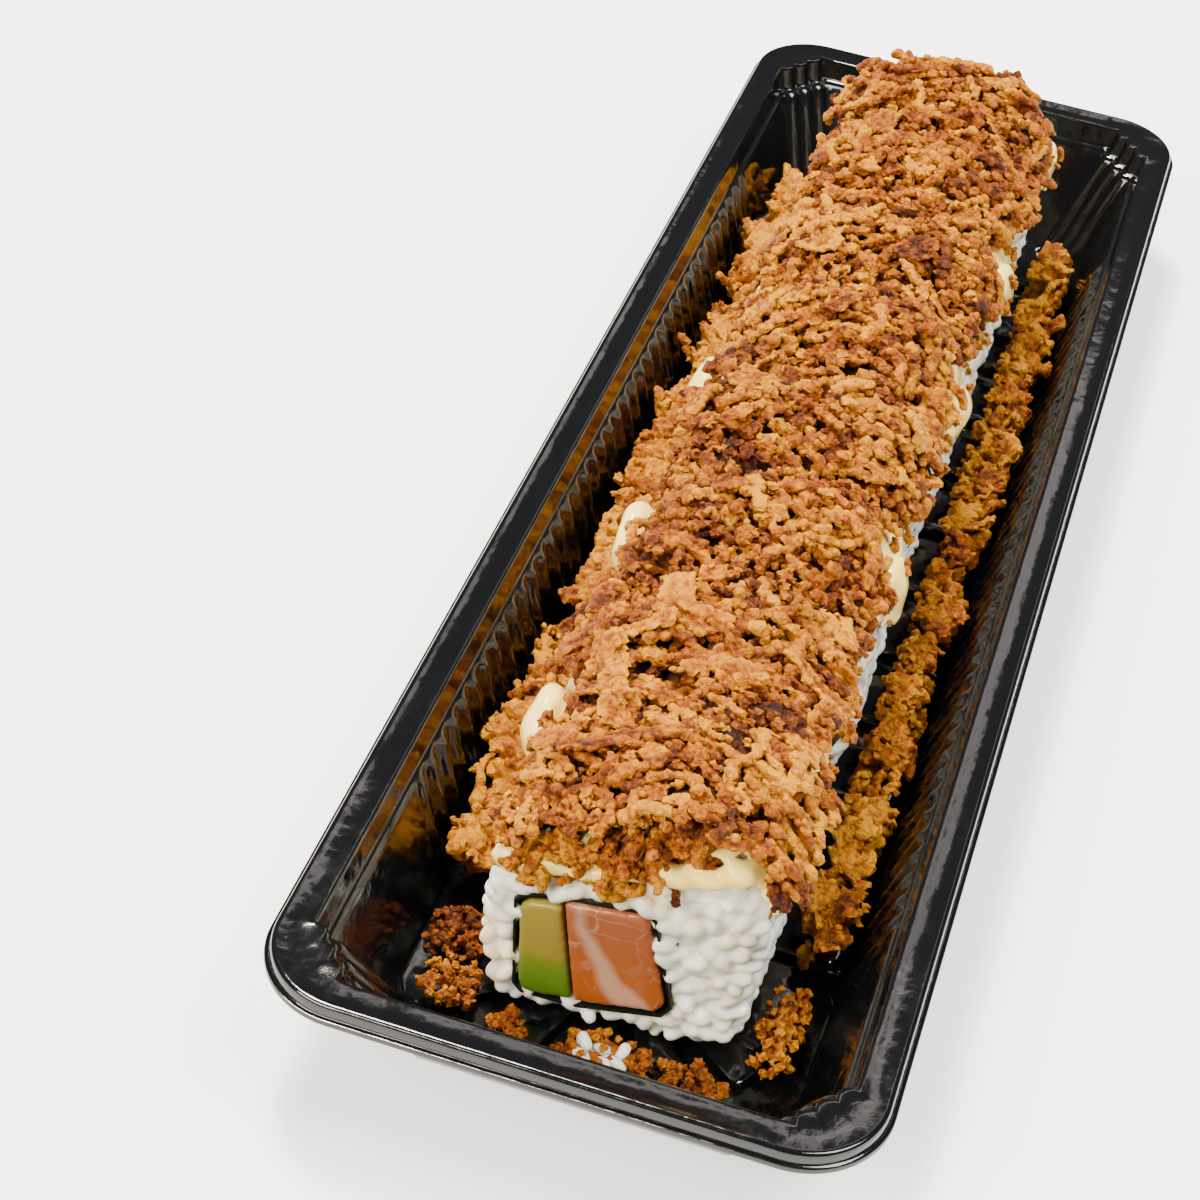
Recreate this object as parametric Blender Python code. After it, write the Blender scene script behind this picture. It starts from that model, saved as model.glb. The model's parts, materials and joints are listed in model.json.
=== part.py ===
# Takeaway tray with a sliced rice roll under mayonnaise and crisp fried onion.
# Black thermoformed tray, eight slices side by side, loose onion crumbs beside and in front of them.
# Millimetres inside the functions, metres in the finished meshes. +Z up, +Y along the tray.
import math
import random

import bmesh
import bpy
from mathutils import Matrix, Vector
from mathutils.bvhtree import BVHTree

MM = 0.001

# Tray, from the rim's top face down
RIM_Z = 25.0
SHEET = 0.6
OPEN_X = 38.0
OPEN_Y = 136.0
RIM_WIDTH = 4.85
OUTER_RADIUS = 12.0
NOTCH_X = 6.5
NOTCH_Y = 8.5
NOTCH_LOBES = 3
LOBE_STEPS = 3
LOBE_BULGE = 1.1
RIM_DIP = 0.25
BAND_DEPTH = 3.9
LEDGE_IN = 1.4
TEETH_IN = 1.95
TEETH_OUT = 0.75
TEETH_DROP = 5.4
WALL_IN = 7.6
END_SLOPE = 1.71
CORNER_SLOPE = 1.25
FLOOR_TOP = 0.6
FLUTES = 40
FLUTE_PITCH = 4.7
FLUTE_DEPTH = 1.2
PAD_RISE = 1.5
BARS = 10
BAR_PITCH = 18.0
BAR_HALF_LENGTH = 29.2
BAR_HALF_WIDTH = 6.0
FAN_Y = 97.5
PAD_TOP = FLOOR_TOP + PAD_RISE

# Roll: the front cut's outline, and the flatter outline that the slices behind it have
SLICES = 8
PITCH = 28.1
THICK = 26.3
FRONT_Y = -112.3
GAP = 0.3
FOOD_Z = PAD_TOP + GAP
RING_POINTS = 16
CENTRE = (-3.4, 14.2)
SECTION = [
    (-18.8, 1.6), (-20.4, 7.0), (-20.6, 14.0), (-20.2, 21.5), (-18.0, 27.3), (-12.0, 30.0),
    (-4.0, 32.0), (4.0, 34.4), (11.0, 37.6), (15.6, 38.2), (18.8, 35.2), (20.0, 28.0),
    (20.2, 18.0), (19.9, 8.0), (18.2, 1.8), (12.0, 0.0), (0.0, 0.1), (-12.0, 0.0),
]
BACK_SECTION = [
    (-18.8, 1.6), (-20.4, 7.0), (-20.6, 16.0), (-20.2, 25.5), (-17.4, 32.0), (-11.5, 34.6),
    (-4.0, 35.6), (4.0, 36.0), (11.0, 35.8), (15.6, 34.4), (18.8, 31.0), (20.0, 25.0),
    (20.2, 17.0), (19.9, 8.0), (18.2, 1.8), (12.0, 0.0), (0.0, 0.1), (-12.0, 0.0),
]
WRAP = [
    (-14.8, 21.6), (-13.4, 22.9), (-8.5, 24.3), (3.4, 25.7), (4.7, 24.4),
    (8.7, 8.6), (7.4, 6.3), (-4.9, 3.7), (-12.4, 3.7), (-13.7, 5.2),
]
NORI_THICK = 0.5
AVOCADO = [(-14.0, 20.8), (-12.8, 22.0), (-8.5, 22.8), (-5.4, 5.0), (-12.0, 4.4), (-12.9, 5.6)]
SALMON = [(-7.8, 23.6), (2.8, 25.0), (3.9, 23.8), (7.8, 9.0), (6.8, 7.2), (-4.7, 5.1)]

# Toppings: AXIS_Z is the height of the line from which their angles are measured
AXIS_Z = 17.0
RAY = 60.0
MAYO_DRIPS_RIGHT = [-88.0, -35.0, 15.5, 56.0, 103.0]
MAYO_DRIPS_LEFT = [-84.0, -39.0, 4.0]
SEED = 41


def clear_scene():
    for ob in list(bpy.data.objects):
        bpy.data.objects.remove(ob, do_unlink=True)


def material(name, colour, roughness, metallic=0.0):
    mat = bpy.data.materials.new(name)
    mat.use_nodes = True
    shader = mat.node_tree.nodes["Principled BSDF"]
    shader.inputs["Base Color"].default_value = (colour[0], colour[1], colour[2], 1.0)
    shader.inputs["Roughness"].default_value = roughness
    shader.inputs["Metallic"].default_value = metallic
    return mat


def make_object(name, bm, mat=None, split=False):
    bmesh.ops.recalc_face_normals(bm, faces=bm.faces)
    if split:
        bmesh.ops.triangulate(bm, faces=bm.faces)
    for v in bm.verts:
        v.co *= MM
    mesh = bpy.data.meshes.new(name)
    bm.to_mesh(mesh)
    bm.free()
    ob = bpy.data.objects.new(name, mesh)
    bpy.context.scene.collection.objects.link(ob)
    if mat is not None:
        mesh.materials.append(mat)
    return ob


def bridge(bm, ring_a, ring_b, closed=True):
    count = len(ring_a)
    last = count if closed else count - 1
    for i in range(last):
        j = (i + 1) % count
        bm.faces.new((ring_a[i], ring_a[j], ring_b[j], ring_b[i]))


def prism(name, outline, y0, y1, mat):
    bm = bmesh.new()
    front = [bm.verts.new((x, y0, z)) for x, z in outline]
    back = [bm.verts.new((x, y1, z)) for x, z in outline]
    bridge(bm, front, back)
    bm.faces.new(front)
    bm.faces.new(back)
    return make_object(name, bm, mat)


def boolean(target, cutter, operation, as_collection=False, solver="EXACT"):
    mod = target.modifiers.new("cut", "BOOLEAN")
    mod.operation = operation
    mod.solver = solver
    if as_collection:
        mod.operand_type = "COLLECTION"
        mod.collection = cutter
    else:
        mod.object = cutter
    graph = bpy.context.evaluated_depsgraph_get()
    mesh = bpy.data.meshes.new_from_object(target.evaluated_get(graph))
    target.modifiers.remove(mod)
    old = target.data
    target.data = mesh
    return old


def keep_largest(ob, merge):
    """Drop loose flakes that the join left unattached, and any closed pocket inside."""
    bm = bmesh.new()
    bm.from_mesh(ob.data)
    if merge:
        bmesh.ops.remove_doubles(bm, verts=bm.verts, dist=merge * MM)
        bmesh.ops.dissolve_degenerate(bm, edges=bm.edges, dist=merge * MM)
    seen = set()
    groups = []
    for face in bm.faces:
        if face in seen:
            continue
        group = []
        stack = [face]
        seen.add(face)
        while stack:
            current = stack.pop()
            group.append(current)
            for edge in current.edges:
                for other in edge.link_faces:
                    if other not in seen:
                        seen.add(other)
                        stack.append(other)
        groups.append(group)
    groups.sort(key=lambda g: sum(f.calc_area() for f in g), reverse=True)
    for group in groups[1:]:
        bmesh.ops.delete(bm, geom=group, context="FACES")
    loose = [v for v in bm.verts if not v.link_faces]
    bmesh.ops.delete(bm, geom=loose, context="VERTS")
    if sum(1 for e in bm.edges if not e.is_manifold):
        bm.free()
        return False
    bm.to_mesh(ob.data)
    bm.free()
    return True


def polar_radius(poly, centre, angle):
    """Distance from the centre to the outline along an angle."""
    dx = math.cos(angle)
    dz = math.sin(angle)
    best = 0.0
    for i in range(len(poly)):
        ax = poly[i][0] - centre[0]
        az = poly[i][1] - centre[1]
        bx = poly[(i + 1) % len(poly)][0] - centre[0]
        bz = poly[(i + 1) % len(poly)][1] - centre[1]
        ex = bx - ax
        ez = bz - az
        det = dx * ez - dz * ex
        if abs(det) < 1e-9:
            continue
        t = (ax * ez - az * ex) / det
        u = (ax * dz - az * dx) / det
        if -1e-9 <= u <= 1.0 + 1e-9 and t > best:
            best = t
    return best


def smooth_closed(points, steps):
    """Catmull-Rom curve through a closed list of points."""
    out = []
    count = len(points)
    for i in range(count):
        p0, p1, p2, p3 = (points[(i + k - 1) % count] for k in range(4))
        for s in range(steps):
            t = s / steps
            value = []
            for c in range(2):
                a = 2.0 * p1[c]
                b = (p2[c] - p0[c]) * t
                d = (2.0 * p0[c] - 5.0 * p1[c] + 4.0 * p2[c] - p3[c]) * t * t
                e = (3.0 * p1[c] - p0[c] - 3.0 * p2[c] + p3[c]) * t * t * t
                value.append(0.5 * (a + b + d + e))
            out.append((value[0], value[1]))
    return out


# Tray stations: one entry per column round the opening, from the right wall anticlockwise


def corner_stations(sx, sy):
    """Stations of one corner in its own quadrant, from the long wall to the short wall."""
    steps = NOTCH_LOBES * LOBE_STEPS
    diagonal = math.hypot(NOTCH_X, NOTCH_Y)
    stations = []
    for i in range(steps + 1):
        t = i / steps
        bulge = LOBE_BULGE * abs(math.sin(math.pi * i / LOBE_STEPS))
        x = OPEN_X - NOTCH_X * t - bulge * NOTCH_Y / diagonal
        y = OPEN_Y - NOTCH_Y * (1.0 - t) - bulge * NOTCH_X / diagonal
        angle = 0.5 * math.pi * t
        ox = OPEN_X + RIM_WIDTH - OUTER_RADIUS + OUTER_RADIUS * math.cos(angle)
        oy = OPEN_Y + RIM_WIDTH - OUTER_RADIUS + OUTER_RADIUS * math.sin(angle)
        stations.append({
            "inner": (sx * x, sy * y),
            "inward": (-sx, -sy),
            "slope": (CORNER_SLOPE, END_SLOPE),
            "outer": (sx * ox, sy * oy),
            "outward": (sx * math.cos(angle), sy * math.sin(angle)),
            "dip": 0.0,
            "flute": False,
        })
    return stations


def wall_station(inner, inward, outward, dip, flute=False):
    ox = inner[0] + outward[0] * RIM_WIDTH
    oy = inner[1] + outward[1] * RIM_WIDTH
    return {
        "inner": inner, "inward": inward, "slope": (1.0, END_SLOPE),
        "outer": (ox, oy), "outward": outward, "dip": dip, "flute": flute,
    }


def inset_point(station, inset):
    """Point of a station moved inward; below the ledge the end walls and corners lean in more."""
    above = min(inset, LEDGE_IN)
    below = inset - above
    x = station["inner"][0] + station["inward"][0] * (above + below * station["slope"][0])
    y = station["inner"][1] + station["inward"][1] * (above + below * station["slope"][1])
    return x, y


def tray_stations():
    near = OPEN_Y - NOTCH_Y - 3.0
    side = OPEN_X - NOTCH_X - 3.0
    half = 0.5 * FLUTES * FLUTE_PITCH
    out = []
    out.append(wall_station((OPEN_X, -near), (-1, 1), (1, 0), RIM_DIP))
    out.append(wall_station((OPEN_X, -half), (-1, 0), (1, 0), RIM_DIP, True))
    out.append(wall_station((OPEN_X, half), (-1, 0), (1, 0), RIM_DIP))
    out.append(wall_station((OPEN_X, near), (-1, -1), (1, 0), RIM_DIP))
    out.extend(corner_stations(1, 1))
    out.append(wall_station((side, OPEN_Y), (-1, -1), (0, 1), RIM_DIP))
    out.append(wall_station((-side, OPEN_Y), (1, -1), (0, 1), RIM_DIP))
    out.extend(reversed(corner_stations(-1, 1)))
    out.append(wall_station((-OPEN_X, near), (1, -1), (-1, 0), RIM_DIP))
    out.append(wall_station((-OPEN_X, half), (1, 0), (-1, 0), RIM_DIP, True))
    out.append(wall_station((-OPEN_X, -half), (1, 0), (-1, 0), RIM_DIP))
    out.append(wall_station((-OPEN_X, -near), (1, 1), (-1, 0), RIM_DIP))
    out.extend(corner_stations(-1, -1))
    out.append(wall_station((-side, -OPEN_Y), (1, 1), (0, -1), RIM_DIP))
    out.append(wall_station((side, -OPEN_Y), (-1, 1), (0, -1), RIM_DIP))
    out.extend(reversed(corner_stations(1, -1)))
    return out


def outer_ring(bm, stations, offset, z):
    ring = []
    for s in stations:
        x = s["outer"][0] + s["outward"][0] * offset
        y = s["outer"][1] + s["outward"][1] * offset
        ring.append(bm.verts.new((x, y, RIM_Z + z)))
    return ring


def inner_ring(bm, stations, inset, z, dip=False):
    ring = []
    for s in stations:
        x, y = inset_point(s, inset)
        drop = s["dip"] if dip else 0.0
        ring.append(bm.verts.new((x, y, RIM_Z + z - drop)))
    return ring


def fluted_ring(bm, stations, inset, ridge, valley, z):
    """A ring with the flute columns put in; returns one list of vertices per station."""
    runs = []
    for s in stations:
        x, y = inset_point(s, inset)
        run = [bm.verts.new((x, y, RIM_Z + z))]
        if s["flute"]:
            sign = 1.0 if s["inner"][0] > 0 else -1.0
            for k in range(1, 2 * FLUTES):
                depth = inset + (ridge if k % 2 else valley)
                fx = s["inner"][0] + s["inward"][0] * depth
                fy = s["inner"][1] + sign * k * 0.5 * FLUTE_PITCH
                run.append(bm.verts.new((fx, fy, RIM_Z + z)))
        runs.append(run)
    return runs


def join_to_runs(bm, ring, runs):
    count = len(ring)
    for i in range(count):
        j = (i + 1) % count
        bm.faces.new([ring[i], ring[j], runs[j][0]] + list(reversed(runs[i])))


def join_runs(bm, runs_a, runs_b):
    flat_a = [v for run in runs_a for v in run]
    flat_b = [v for run in runs_b for v in run]
    bridge(bm, flat_a, flat_b)
    return flat_b


def pad_outlines():
    """Raised plates of the floor: bars across it, and a fan of plates at each end."""
    pads = []
    for i in range(BARS):
        x = BAR_HALF_LENGTH
        y0 = BAR_PITCH * (i - 0.5 * (BARS - 1)) - BAR_HALF_WIDTH
        y1 = y0 + 2.0 * BAR_HALF_WIDTH
        pads.append([(-x, y0), (x, y0), (x, y1), (-x, y1)])
    for end in (-1, 1):
        for angle, r0, r1, w0, w1 in (
            (0, 9.0, 23.5, 1.6, 4.2), (30, 9.0, 25.0, 1.6, 4.2), (-30, 9.0, 25.0, 1.6, 4.2),
            (60, 10.0, 26.5, 1.6, 4.0), (-60, 10.0, 26.5, 1.6, 4.0),
        ):
            a = math.radians(angle)
            ux = math.sin(a)
            uy = end * math.cos(a)
            cy = end * FAN_Y
            quad = []
            for r, w in ((r0, -w0), (r1, -w1), (r1, w1), (r0, w0)):
                quad.append((ux * r - uy * w * end, cy + uy * r + ux * w * end))
            pads.append(quad)
    return pads


def pad_solid(name, outline, grow, z0, z1, taper, chamfer):
    """Plate with cut corners and sloping sides."""
    cx = sum(p[0] for p in outline) / 4.0
    cy = sum(p[1] for p in outline) / 4.0
    base = list(outline) if chamfer == 0.0 else []
    for i in range(4 if chamfer else 0):
        p = outline[i]
        for q in (outline[i - 1], outline[(i + 1) % 4]):
            share = min(0.3, chamfer / math.hypot(q[0] - p[0], q[1] - p[1]))
            base.append((p[0] + (q[0] - p[0]) * share, p[1] + (q[1] - p[1]) * share))
    bm = bmesh.new()
    rings = []
    for z, extra in ((z0, grow + taper), (z1, grow)):
        ring = []
        for x, y in base:
            dx = x - cx
            dy = y - cy
            length = math.hypot(dx, dy)
            if length < 14.0:
                sx = x + dx / length * extra
                sy = y + dy / length * extra
            else:
                sx = x + extra * (1 if dx > 0 else -1)
                sy = y + extra * (1 if dy > 0 else -1)
            ring.append(bm.verts.new((sx, sy, z)))
        rings.append(ring)
    bridge(bm, rings[0], rings[1])
    bm.faces.new(rings[0])
    bm.faces.new(rings[1])
    return make_object(name, bm)


def build_tray(mat):
    bm = bmesh.new()
    st = tray_stations()
    edge_z = -2.75
    top = [
        outer_ring(bm, st, 1.15, edge_z),
        outer_ring(bm, st, 1.15, -1.95),
        outer_ring(bm, st, 0.55, -1.85),
        outer_ring(bm, st, 0.0, 0.0),
        inner_ring(bm, st, -0.45, 0.0, dip=True),
        inner_ring(bm, st, 0.10, -0.50, dip=True),
        inner_ring(bm, st, 0.90, -BAND_DEPTH),
    ]
    under = [
        outer_ring(bm, st, 1.15 - SHEET, edge_z),
        outer_ring(bm, st, 1.15 - SHEET, -2.50),
        outer_ring(bm, st, -0.02, -2.42),
        outer_ring(bm, st, -0.55, -SHEET),
        inner_ring(bm, st, -0.75, -SHEET, dip=True),
        inner_ring(bm, st, -0.48, -0.75, dip=True),
        inner_ring(bm, st, 0.32, -BAND_DEPTH - 0.1),
    ]
    half = 0.5 * FLUTE_DEPTH
    top_ledge = fluted_ring(bm, st, LEDGE_IN, 0.0, 0.0, -4.3)
    top_teeth = fluted_ring(bm, st, TEETH_IN, TEETH_OUT, -0.35, -TEETH_DROP)
    top_foot = fluted_ring(bm, st, WALL_IN, half, -half, FLOOR_TOP - RIM_Z)
    under_ledge = fluted_ring(bm, st, 0.82, 0.0, 0.0, -4.62)
    under_teeth = fluted_ring(bm, st, TEETH_IN - 0.65, TEETH_OUT, -0.35, -TEETH_DROP - 0.15)
    under_foot = fluted_ring(bm, st, WALL_IN - 0.46, half, -half, -RIM_Z)
    for rings in (top, under):
        for a, b in zip(rings[:-1], rings[1:]):
            bridge(bm, a, b)
    bridge(bm, top[0], under[0])
    join_to_runs(bm, top[-1], top_ledge)
    join_to_runs(bm, under[-1], under_ledge)
    join_runs(bm, top_ledge, top_teeth)
    join_runs(bm, under_ledge, under_teeth)
    bm.faces.new(join_runs(bm, top_teeth, top_foot))
    bm.faces.new(join_runs(bm, under_teeth, under_foot))
    tray = make_object("tray", bm, mat)
    for operation, grow, z0, z1, label in (
        ("UNION", 0.0, FLOOR_TOP - 0.3, PAD_TOP, "plates"),
        ("DIFFERENCE", -0.55, -0.4, PAD_TOP - SHEET, "hollows"),
    ):
        group = bpy.data.collections.new(label)
        bpy.context.scene.collection.children.link(group)
        for i, outline in enumerate(pad_outlines()):
            pad = pad_solid(label + str(i), outline, grow, z0, z1, 0.5, 1.6 if i < BARS else 0.0)
            bpy.context.scene.collection.objects.unlink(pad)
            group.objects.link(pad)
        boolean(tray, group, operation, as_collection=True, solver="MANIFOLD")
        for ob in list(group.objects):
            bpy.data.objects.remove(ob, do_unlink=True)
        bpy.data.collections.remove(group)
    return tray


# Roll


def ring_angles(count):
    """Angles through every corner of the wrap, with the widest gaps halved up to the count."""
    angles = sorted(math.atan2(z - CENTRE[1], x - CENTRE[0]) % (2 * math.pi) for x, z in WRAP)
    while len(angles) < count:
        gaps = []
        for i in range(len(angles)):
            following = angles[(i + 1) % len(angles)] + (2 * math.pi if i == len(angles) - 1 else 0.0)
            gaps.append((following - angles[i], i, following))
        _, i, following = max(gaps)
        angles.append(0.5 * (angles[i] + following) % (2 * math.pi))
        angles.sort()
    return angles


def slice_pose(index):
    """Turn and shift of one slice from the straight row."""
    rng = random.Random(SEED + index)
    yaw = math.radians(2.4 if index == 0 else rng.uniform(-1.5, 1.5))
    shift = 0.0 if index == 0 else rng.uniform(-0.7, 0.7)
    tall = 1.0 if index == 0 else rng.uniform(0.96, 1.01)
    wide = 1.0 if index == 0 else rng.uniform(0.98, 1.02)
    y = FRONT_Y + PITCH * index + 0.5 * THICK
    place = Matrix.Translation(Vector((shift, y, FOOD_Z))) @ Matrix.Rotation(yaw, 4, "Z")
    place = place @ Matrix.Diagonal(Vector((wide, 1.0, tall, 1.0)))
    return place


def place_mesh(ob, place):
    for v in ob.data.vertices:
        v.co = (place @ (v.co / MM)) * MM


def build_rice(index, mat):
    rng = random.Random(SEED * 7 + index)
    mix = min(1.0, 0.6 * index)
    section = [(a[0] + (b[0] - a[0]) * mix, a[1] + (b[1] - a[1]) * mix) for a, b in zip(SECTION, BACK_SECTION)]
    outline = smooth_closed(section, 6)
    angles = ring_angles(RING_POINTS)
    outer = [polar_radius(outline, CENTRE, a) for a in angles]
    hole = [polar_radius(WRAP, CENTRE, a) + NORI_THICK + GAP for a in angles]
    half = 0.5 * THICK
    front = [(-half + 0.35, 0.0, 0.0, 0.0, 0.0), (-half + 0.1, 0.5, 0.0, 0.0, 0.3)]
    body = [
        (-half + 0.7, 1.0, -1.5, 0.3, 0.2), (-half + 2.6, 1.0, 0.0, 0.5, 0.5), (-0.18 * THICK, 1.0, 0.45, 0.5, 1.2),
        (0.17 * THICK, 1.0, 0.45, 0.5, 1.2), (half - 2.6, 1.0, 0.0, 0.5, 0.5), (half - 0.7, 1.0, -1.5, 0.3, 0.2),
    ]
    back = [(half - 0.1, 0.5, 0.0, 0.0, 0.3), (half - 0.35, 0.0, 0.0, 0.0, 0.0)]
    if index > 0:
        front = front[:1]
    if index < SLICES - 1:
        back = back[1:]
    layout = front + body + back
    bm = bmesh.new()
    rings = []
    for y, blend, extra, bump, drift in layout:
        ring = []
        for k, a in enumerate(angles):
            inside = hole[k] + (outer[k] - hole[k]) * blend
            r = inside + extra + rng.uniform(-bump, bump)
            x = CENTRE[0] + r * math.cos(a)
            z = max(CENTRE[1] + r * math.sin(a), 0.0)
            toward = drift if y < 0 else -drift
            ring.append(bm.verts.new((x, y + toward * rng.random(), z)))
        rings.append(ring)
    for i in range(len(rings)):
        bridge(bm, rings[i], rings[(i + 1) % len(rings)])
    ob = make_object("rice_%d" % (index + 1), bm, mat, split=True)
    place_mesh(ob, slice_pose(index))
    return ob


def build_filling(index, mats):
    half = 0.5 * THICK - 0.25
    place = slice_pose(index)
    parts = []
    bm = bmesh.new()
    rings = []
    for y, extra in ((-half, 0.0), (half, 0.0), (half, NORI_THICK), (-half, NORI_THICK)):
        ring = []
        for x, z in WRAP:
            a = math.atan2(z - CENTRE[1], x - CENTRE[0])
            r = math.hypot(x - CENTRE[0], z - CENTRE[1]) + extra
            ring.append(bm.verts.new((CENTRE[0] + r * math.cos(a), y, CENTRE[1] + r * math.sin(a))))
        rings.append(ring)
    for i in range(4):
        bridge(bm, rings[i], rings[(i + 1) % 4])
    parts.append(make_object("nori_%d" % (index + 1), bm, mats["nori"]))
    parts.append(prism("avocado_%d" % (index + 1), AVOCADO, -half, half, mats["avocado"]))
    parts.append(prism("salmon_%d" % (index + 1), SALMON, -half, half, mats["salmon"]))
    for ob in parts:
        place_mesh(ob, place)
    return parts


# Toppings: sheets draped over what lies under them, measured by casting rays inward


def bvh_of(objects):
    verts = []
    polys = []
    for ob in objects:
        base = len(verts)
        verts.extend(v.co / MM for v in ob.data.vertices)
        polys.extend([base + i for i in p.vertices] for p in ob.data.polygons)
    return BVHTree.FromPolygons(verts, polys)


def surface_radius(tree, angle, y):
    direction = Vector((math.cos(angle), 0.0, math.sin(angle)))
    start = Vector((0.0, y, AXIS_Z)) + direction * RAY
    hit = tree.ray_cast(start, -direction)
    if hit[0] is None:
        return None
    return RAY - hit[3]


def draped_radius(tree, angle, y, d_angle, d_y):
    """Largest radius in a window round one point, so that flat facets stay clear."""
    best = 0.0
    for i in range(-4, 5):
        for j in range(-4, 5):
            r = surface_radius(tree, angle + 0.26 * i * d_angle, y + 0.26 * j * d_y)
            if r is not None and r > best:
                best = r
    return best


def drip(y, centres, width):
    return sum(math.exp(-((y - c) / width) ** 2) for c in centres)


def polar_point(angle, radius, y):
    return Vector((radius * math.cos(angle), y, AXIS_Z + radius * math.sin(angle)))


def raise_clear(tree, angles, radii, ys):
    """Lift grid points until no cell of the grid meets the mesh below."""
    rows = len(ys)
    columns = len(angles[0])
    for _ in range(40):
        points = [polar_point(angles[j][i], radii[j][i] - 0.25, ys[j]) for j in range(rows) for i in range(columns)]
        cells = []
        for j in range(rows - 1):
            for i in range(columns - 1):
                a = j * columns + i
                cells.append((a, a + 1, a + columns + 1))
                cells.append((a, a + columns + 1, a + columns))
                cells.append((a, a + 1, a + columns))
                cells.append((a + 1, a + columns + 1, a + columns))
        meets = {pair[0] for pair in BVHTree.FromPolygons(points, cells).overlap(tree)}
        if not meets:
            return
        for index in {k for c in meets for k in cells[c]}:
            radii[index // columns][index % columns] += 0.12


def draped_sheet(name, tree, columns, rows, y0, y1, left_edge, right_edge, clearance, thickness, mat):
    """Closed sheet over the roll between two edge angles that change along it."""
    ys = [y0 + (y1 - y0) * j / rows for j in range(rows + 1)]
    angles = [[left_edge(y) - (left_edge(y) - right_edge(y)) * i / columns for i in range(columns + 1)] for y in ys]
    radii = []
    for j, y in enumerate(ys):
        step = angles[j][0] - angles[j][1]
        radii.append([draped_radius(tree, a, y, 0.6 * step, 0.6 * (y1 - y0) / rows) + clearance for a in angles[j]])
    raise_clear(tree, angles, radii, ys)
    bm = bmesh.new()
    lower = []
    upper = []
    for j, y in enumerate(ys):
        low_row = []
        high_row = []
        for i, a in enumerate(angles[j]):
            rim = i in (0, columns) or j in (0, rows)
            t = 0.35 if rim else thickness(a, y)
            low_row.append(bm.verts.new(polar_point(a, radii[j][i], y)))
            high_row.append(bm.verts.new(polar_point(a, radii[j][i] + t, y)))
        lower.append(low_row)
        upper.append(high_row)
    for j in range(rows):
        bridge(bm, lower[j], lower[j + 1], closed=False)
        bridge(bm, upper[j], upper[j + 1], closed=False)
    for i in range(columns):
        bm.faces.new((lower[0][i], lower[0][i + 1], upper[0][i + 1], upper[0][i]))
        bm.faces.new((lower[rows][i], lower[rows][i + 1], upper[rows][i + 1], upper[rows][i]))
    for j in range(rows):
        bm.faces.new((lower[j][0], lower[j + 1][0], upper[j + 1][0], upper[j][0]))
        bm.faces.new((lower[j][columns], lower[j + 1][columns], upper[j + 1][columns], upper[j][columns]))
    return make_object(name, bm, mat, split=True)


def flake(rng, length, width, thick):
    """Irregular five-sided plate."""
    bm = bmesh.new()
    low = []
    high = []
    for k in range(5):
        a = 2.0 * math.pi * k / 5 + rng.uniform(-0.25, 0.25)
        x = 0.5 * length * math.cos(a) * rng.uniform(0.85, 1.15)
        y = 0.5 * width * math.sin(a) * rng.uniform(0.85, 1.2)
        low.append(bm.verts.new((x, y, -0.5 * thick)))
        high.append(bm.verts.new((x * 0.88, y * 0.88, thick * rng.uniform(0.3, 0.7))))
    bridge(bm, low, high)
    bm.faces.new(low)
    for k in range(1, 4):
        bm.faces.new((high[0], high[k], high[k + 1]))
    return bm


def crumb(rng, size):
    """Small knobbly lump of eight faces."""
    bm = bmesh.new()
    stretch = (rng.uniform(0.55, 0.75) * size, rng.uniform(0.4, 0.55) * size, rng.uniform(0.4, 0.5) * size)
    belt = []
    for k in range(4):
        a = 0.5 * math.pi * k + rng.uniform(-0.3, 0.3)
        reach = rng.uniform(0.85, 1.2)
        height = rng.uniform(-0.25, 0.25) * stretch[2]
        belt.append(bm.verts.new((stretch[0] * reach * math.cos(a), stretch[1] * reach * math.sin(a), height)))
    top = bm.verts.new((rng.uniform(-0.3, 0.3) * size, rng.uniform(-0.2, 0.2) * size, stretch[2]))
    bottom = bm.verts.new((0.0, 0.0, -stretch[2]))
    for k in range(4):
        bm.faces.new((belt[k], belt[(k + 1) % 4], top))
        bm.faces.new((belt[k], belt[(k + 1) % 4], bottom))
    return bm


def clear_of(bm, place, trees):
    """True where the placed piece meets none of the given meshes and none of its corners is under one."""
    verts = [place @ (v.co * 1.08) for v in bm.verts]
    for v in verts:
        angle = math.atan2(v.z - AXIS_Z, v.x)
        under = surface_radius(trees[0], angle, v.y)
        if under is not None and math.hypot(v.x, v.z - AXIS_Z) < under and v.z > AXIS_Z:
            return False
    polys = [[v.index for v in f.verts] for f in bm.faces]
    tree = BVHTree.FromPolygons(verts, polys, epsilon=0.25)
    return not any(tree.overlap(other) for other in trees)


def try_piece(rng, group, label, place, trees, kind, size):
    if kind == "flake":
        bm = flake(rng, size, size * rng.uniform(0.34, 0.6), rng.uniform(1.3, 2.0))
    else:
        bm = crumb(rng, size)
    bm.verts.index_update()
    if not clear_of(bm, place, trees):
        bm.free()
        return False
    for v in bm.verts:
        v.co = place @ v.co
    ob = make_object(label, bm)
    bpy.context.scene.collection.objects.unlink(ob)
    group.objects.link(ob)
    return True


def fuse_pieces(core, group):
    """Join the pieces to the core; the second solver takes over where the first leaves a faulty edge."""
    start = core.data
    done = False
    for solver in ("EXACT", "MANIFOLD"):
        core.data = start
        boolean(core, group, "UNION", as_collection=True, solver=solver)
        for merge in (0.02, 0.005, 0.0):
            done = keep_largest(core, merge)
            if done:
                break
        if done:
            break
    for ob in list(group.objects):
        bpy.data.objects.remove(ob, do_unlink=True)
    bpy.data.collections.remove(group)


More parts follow.
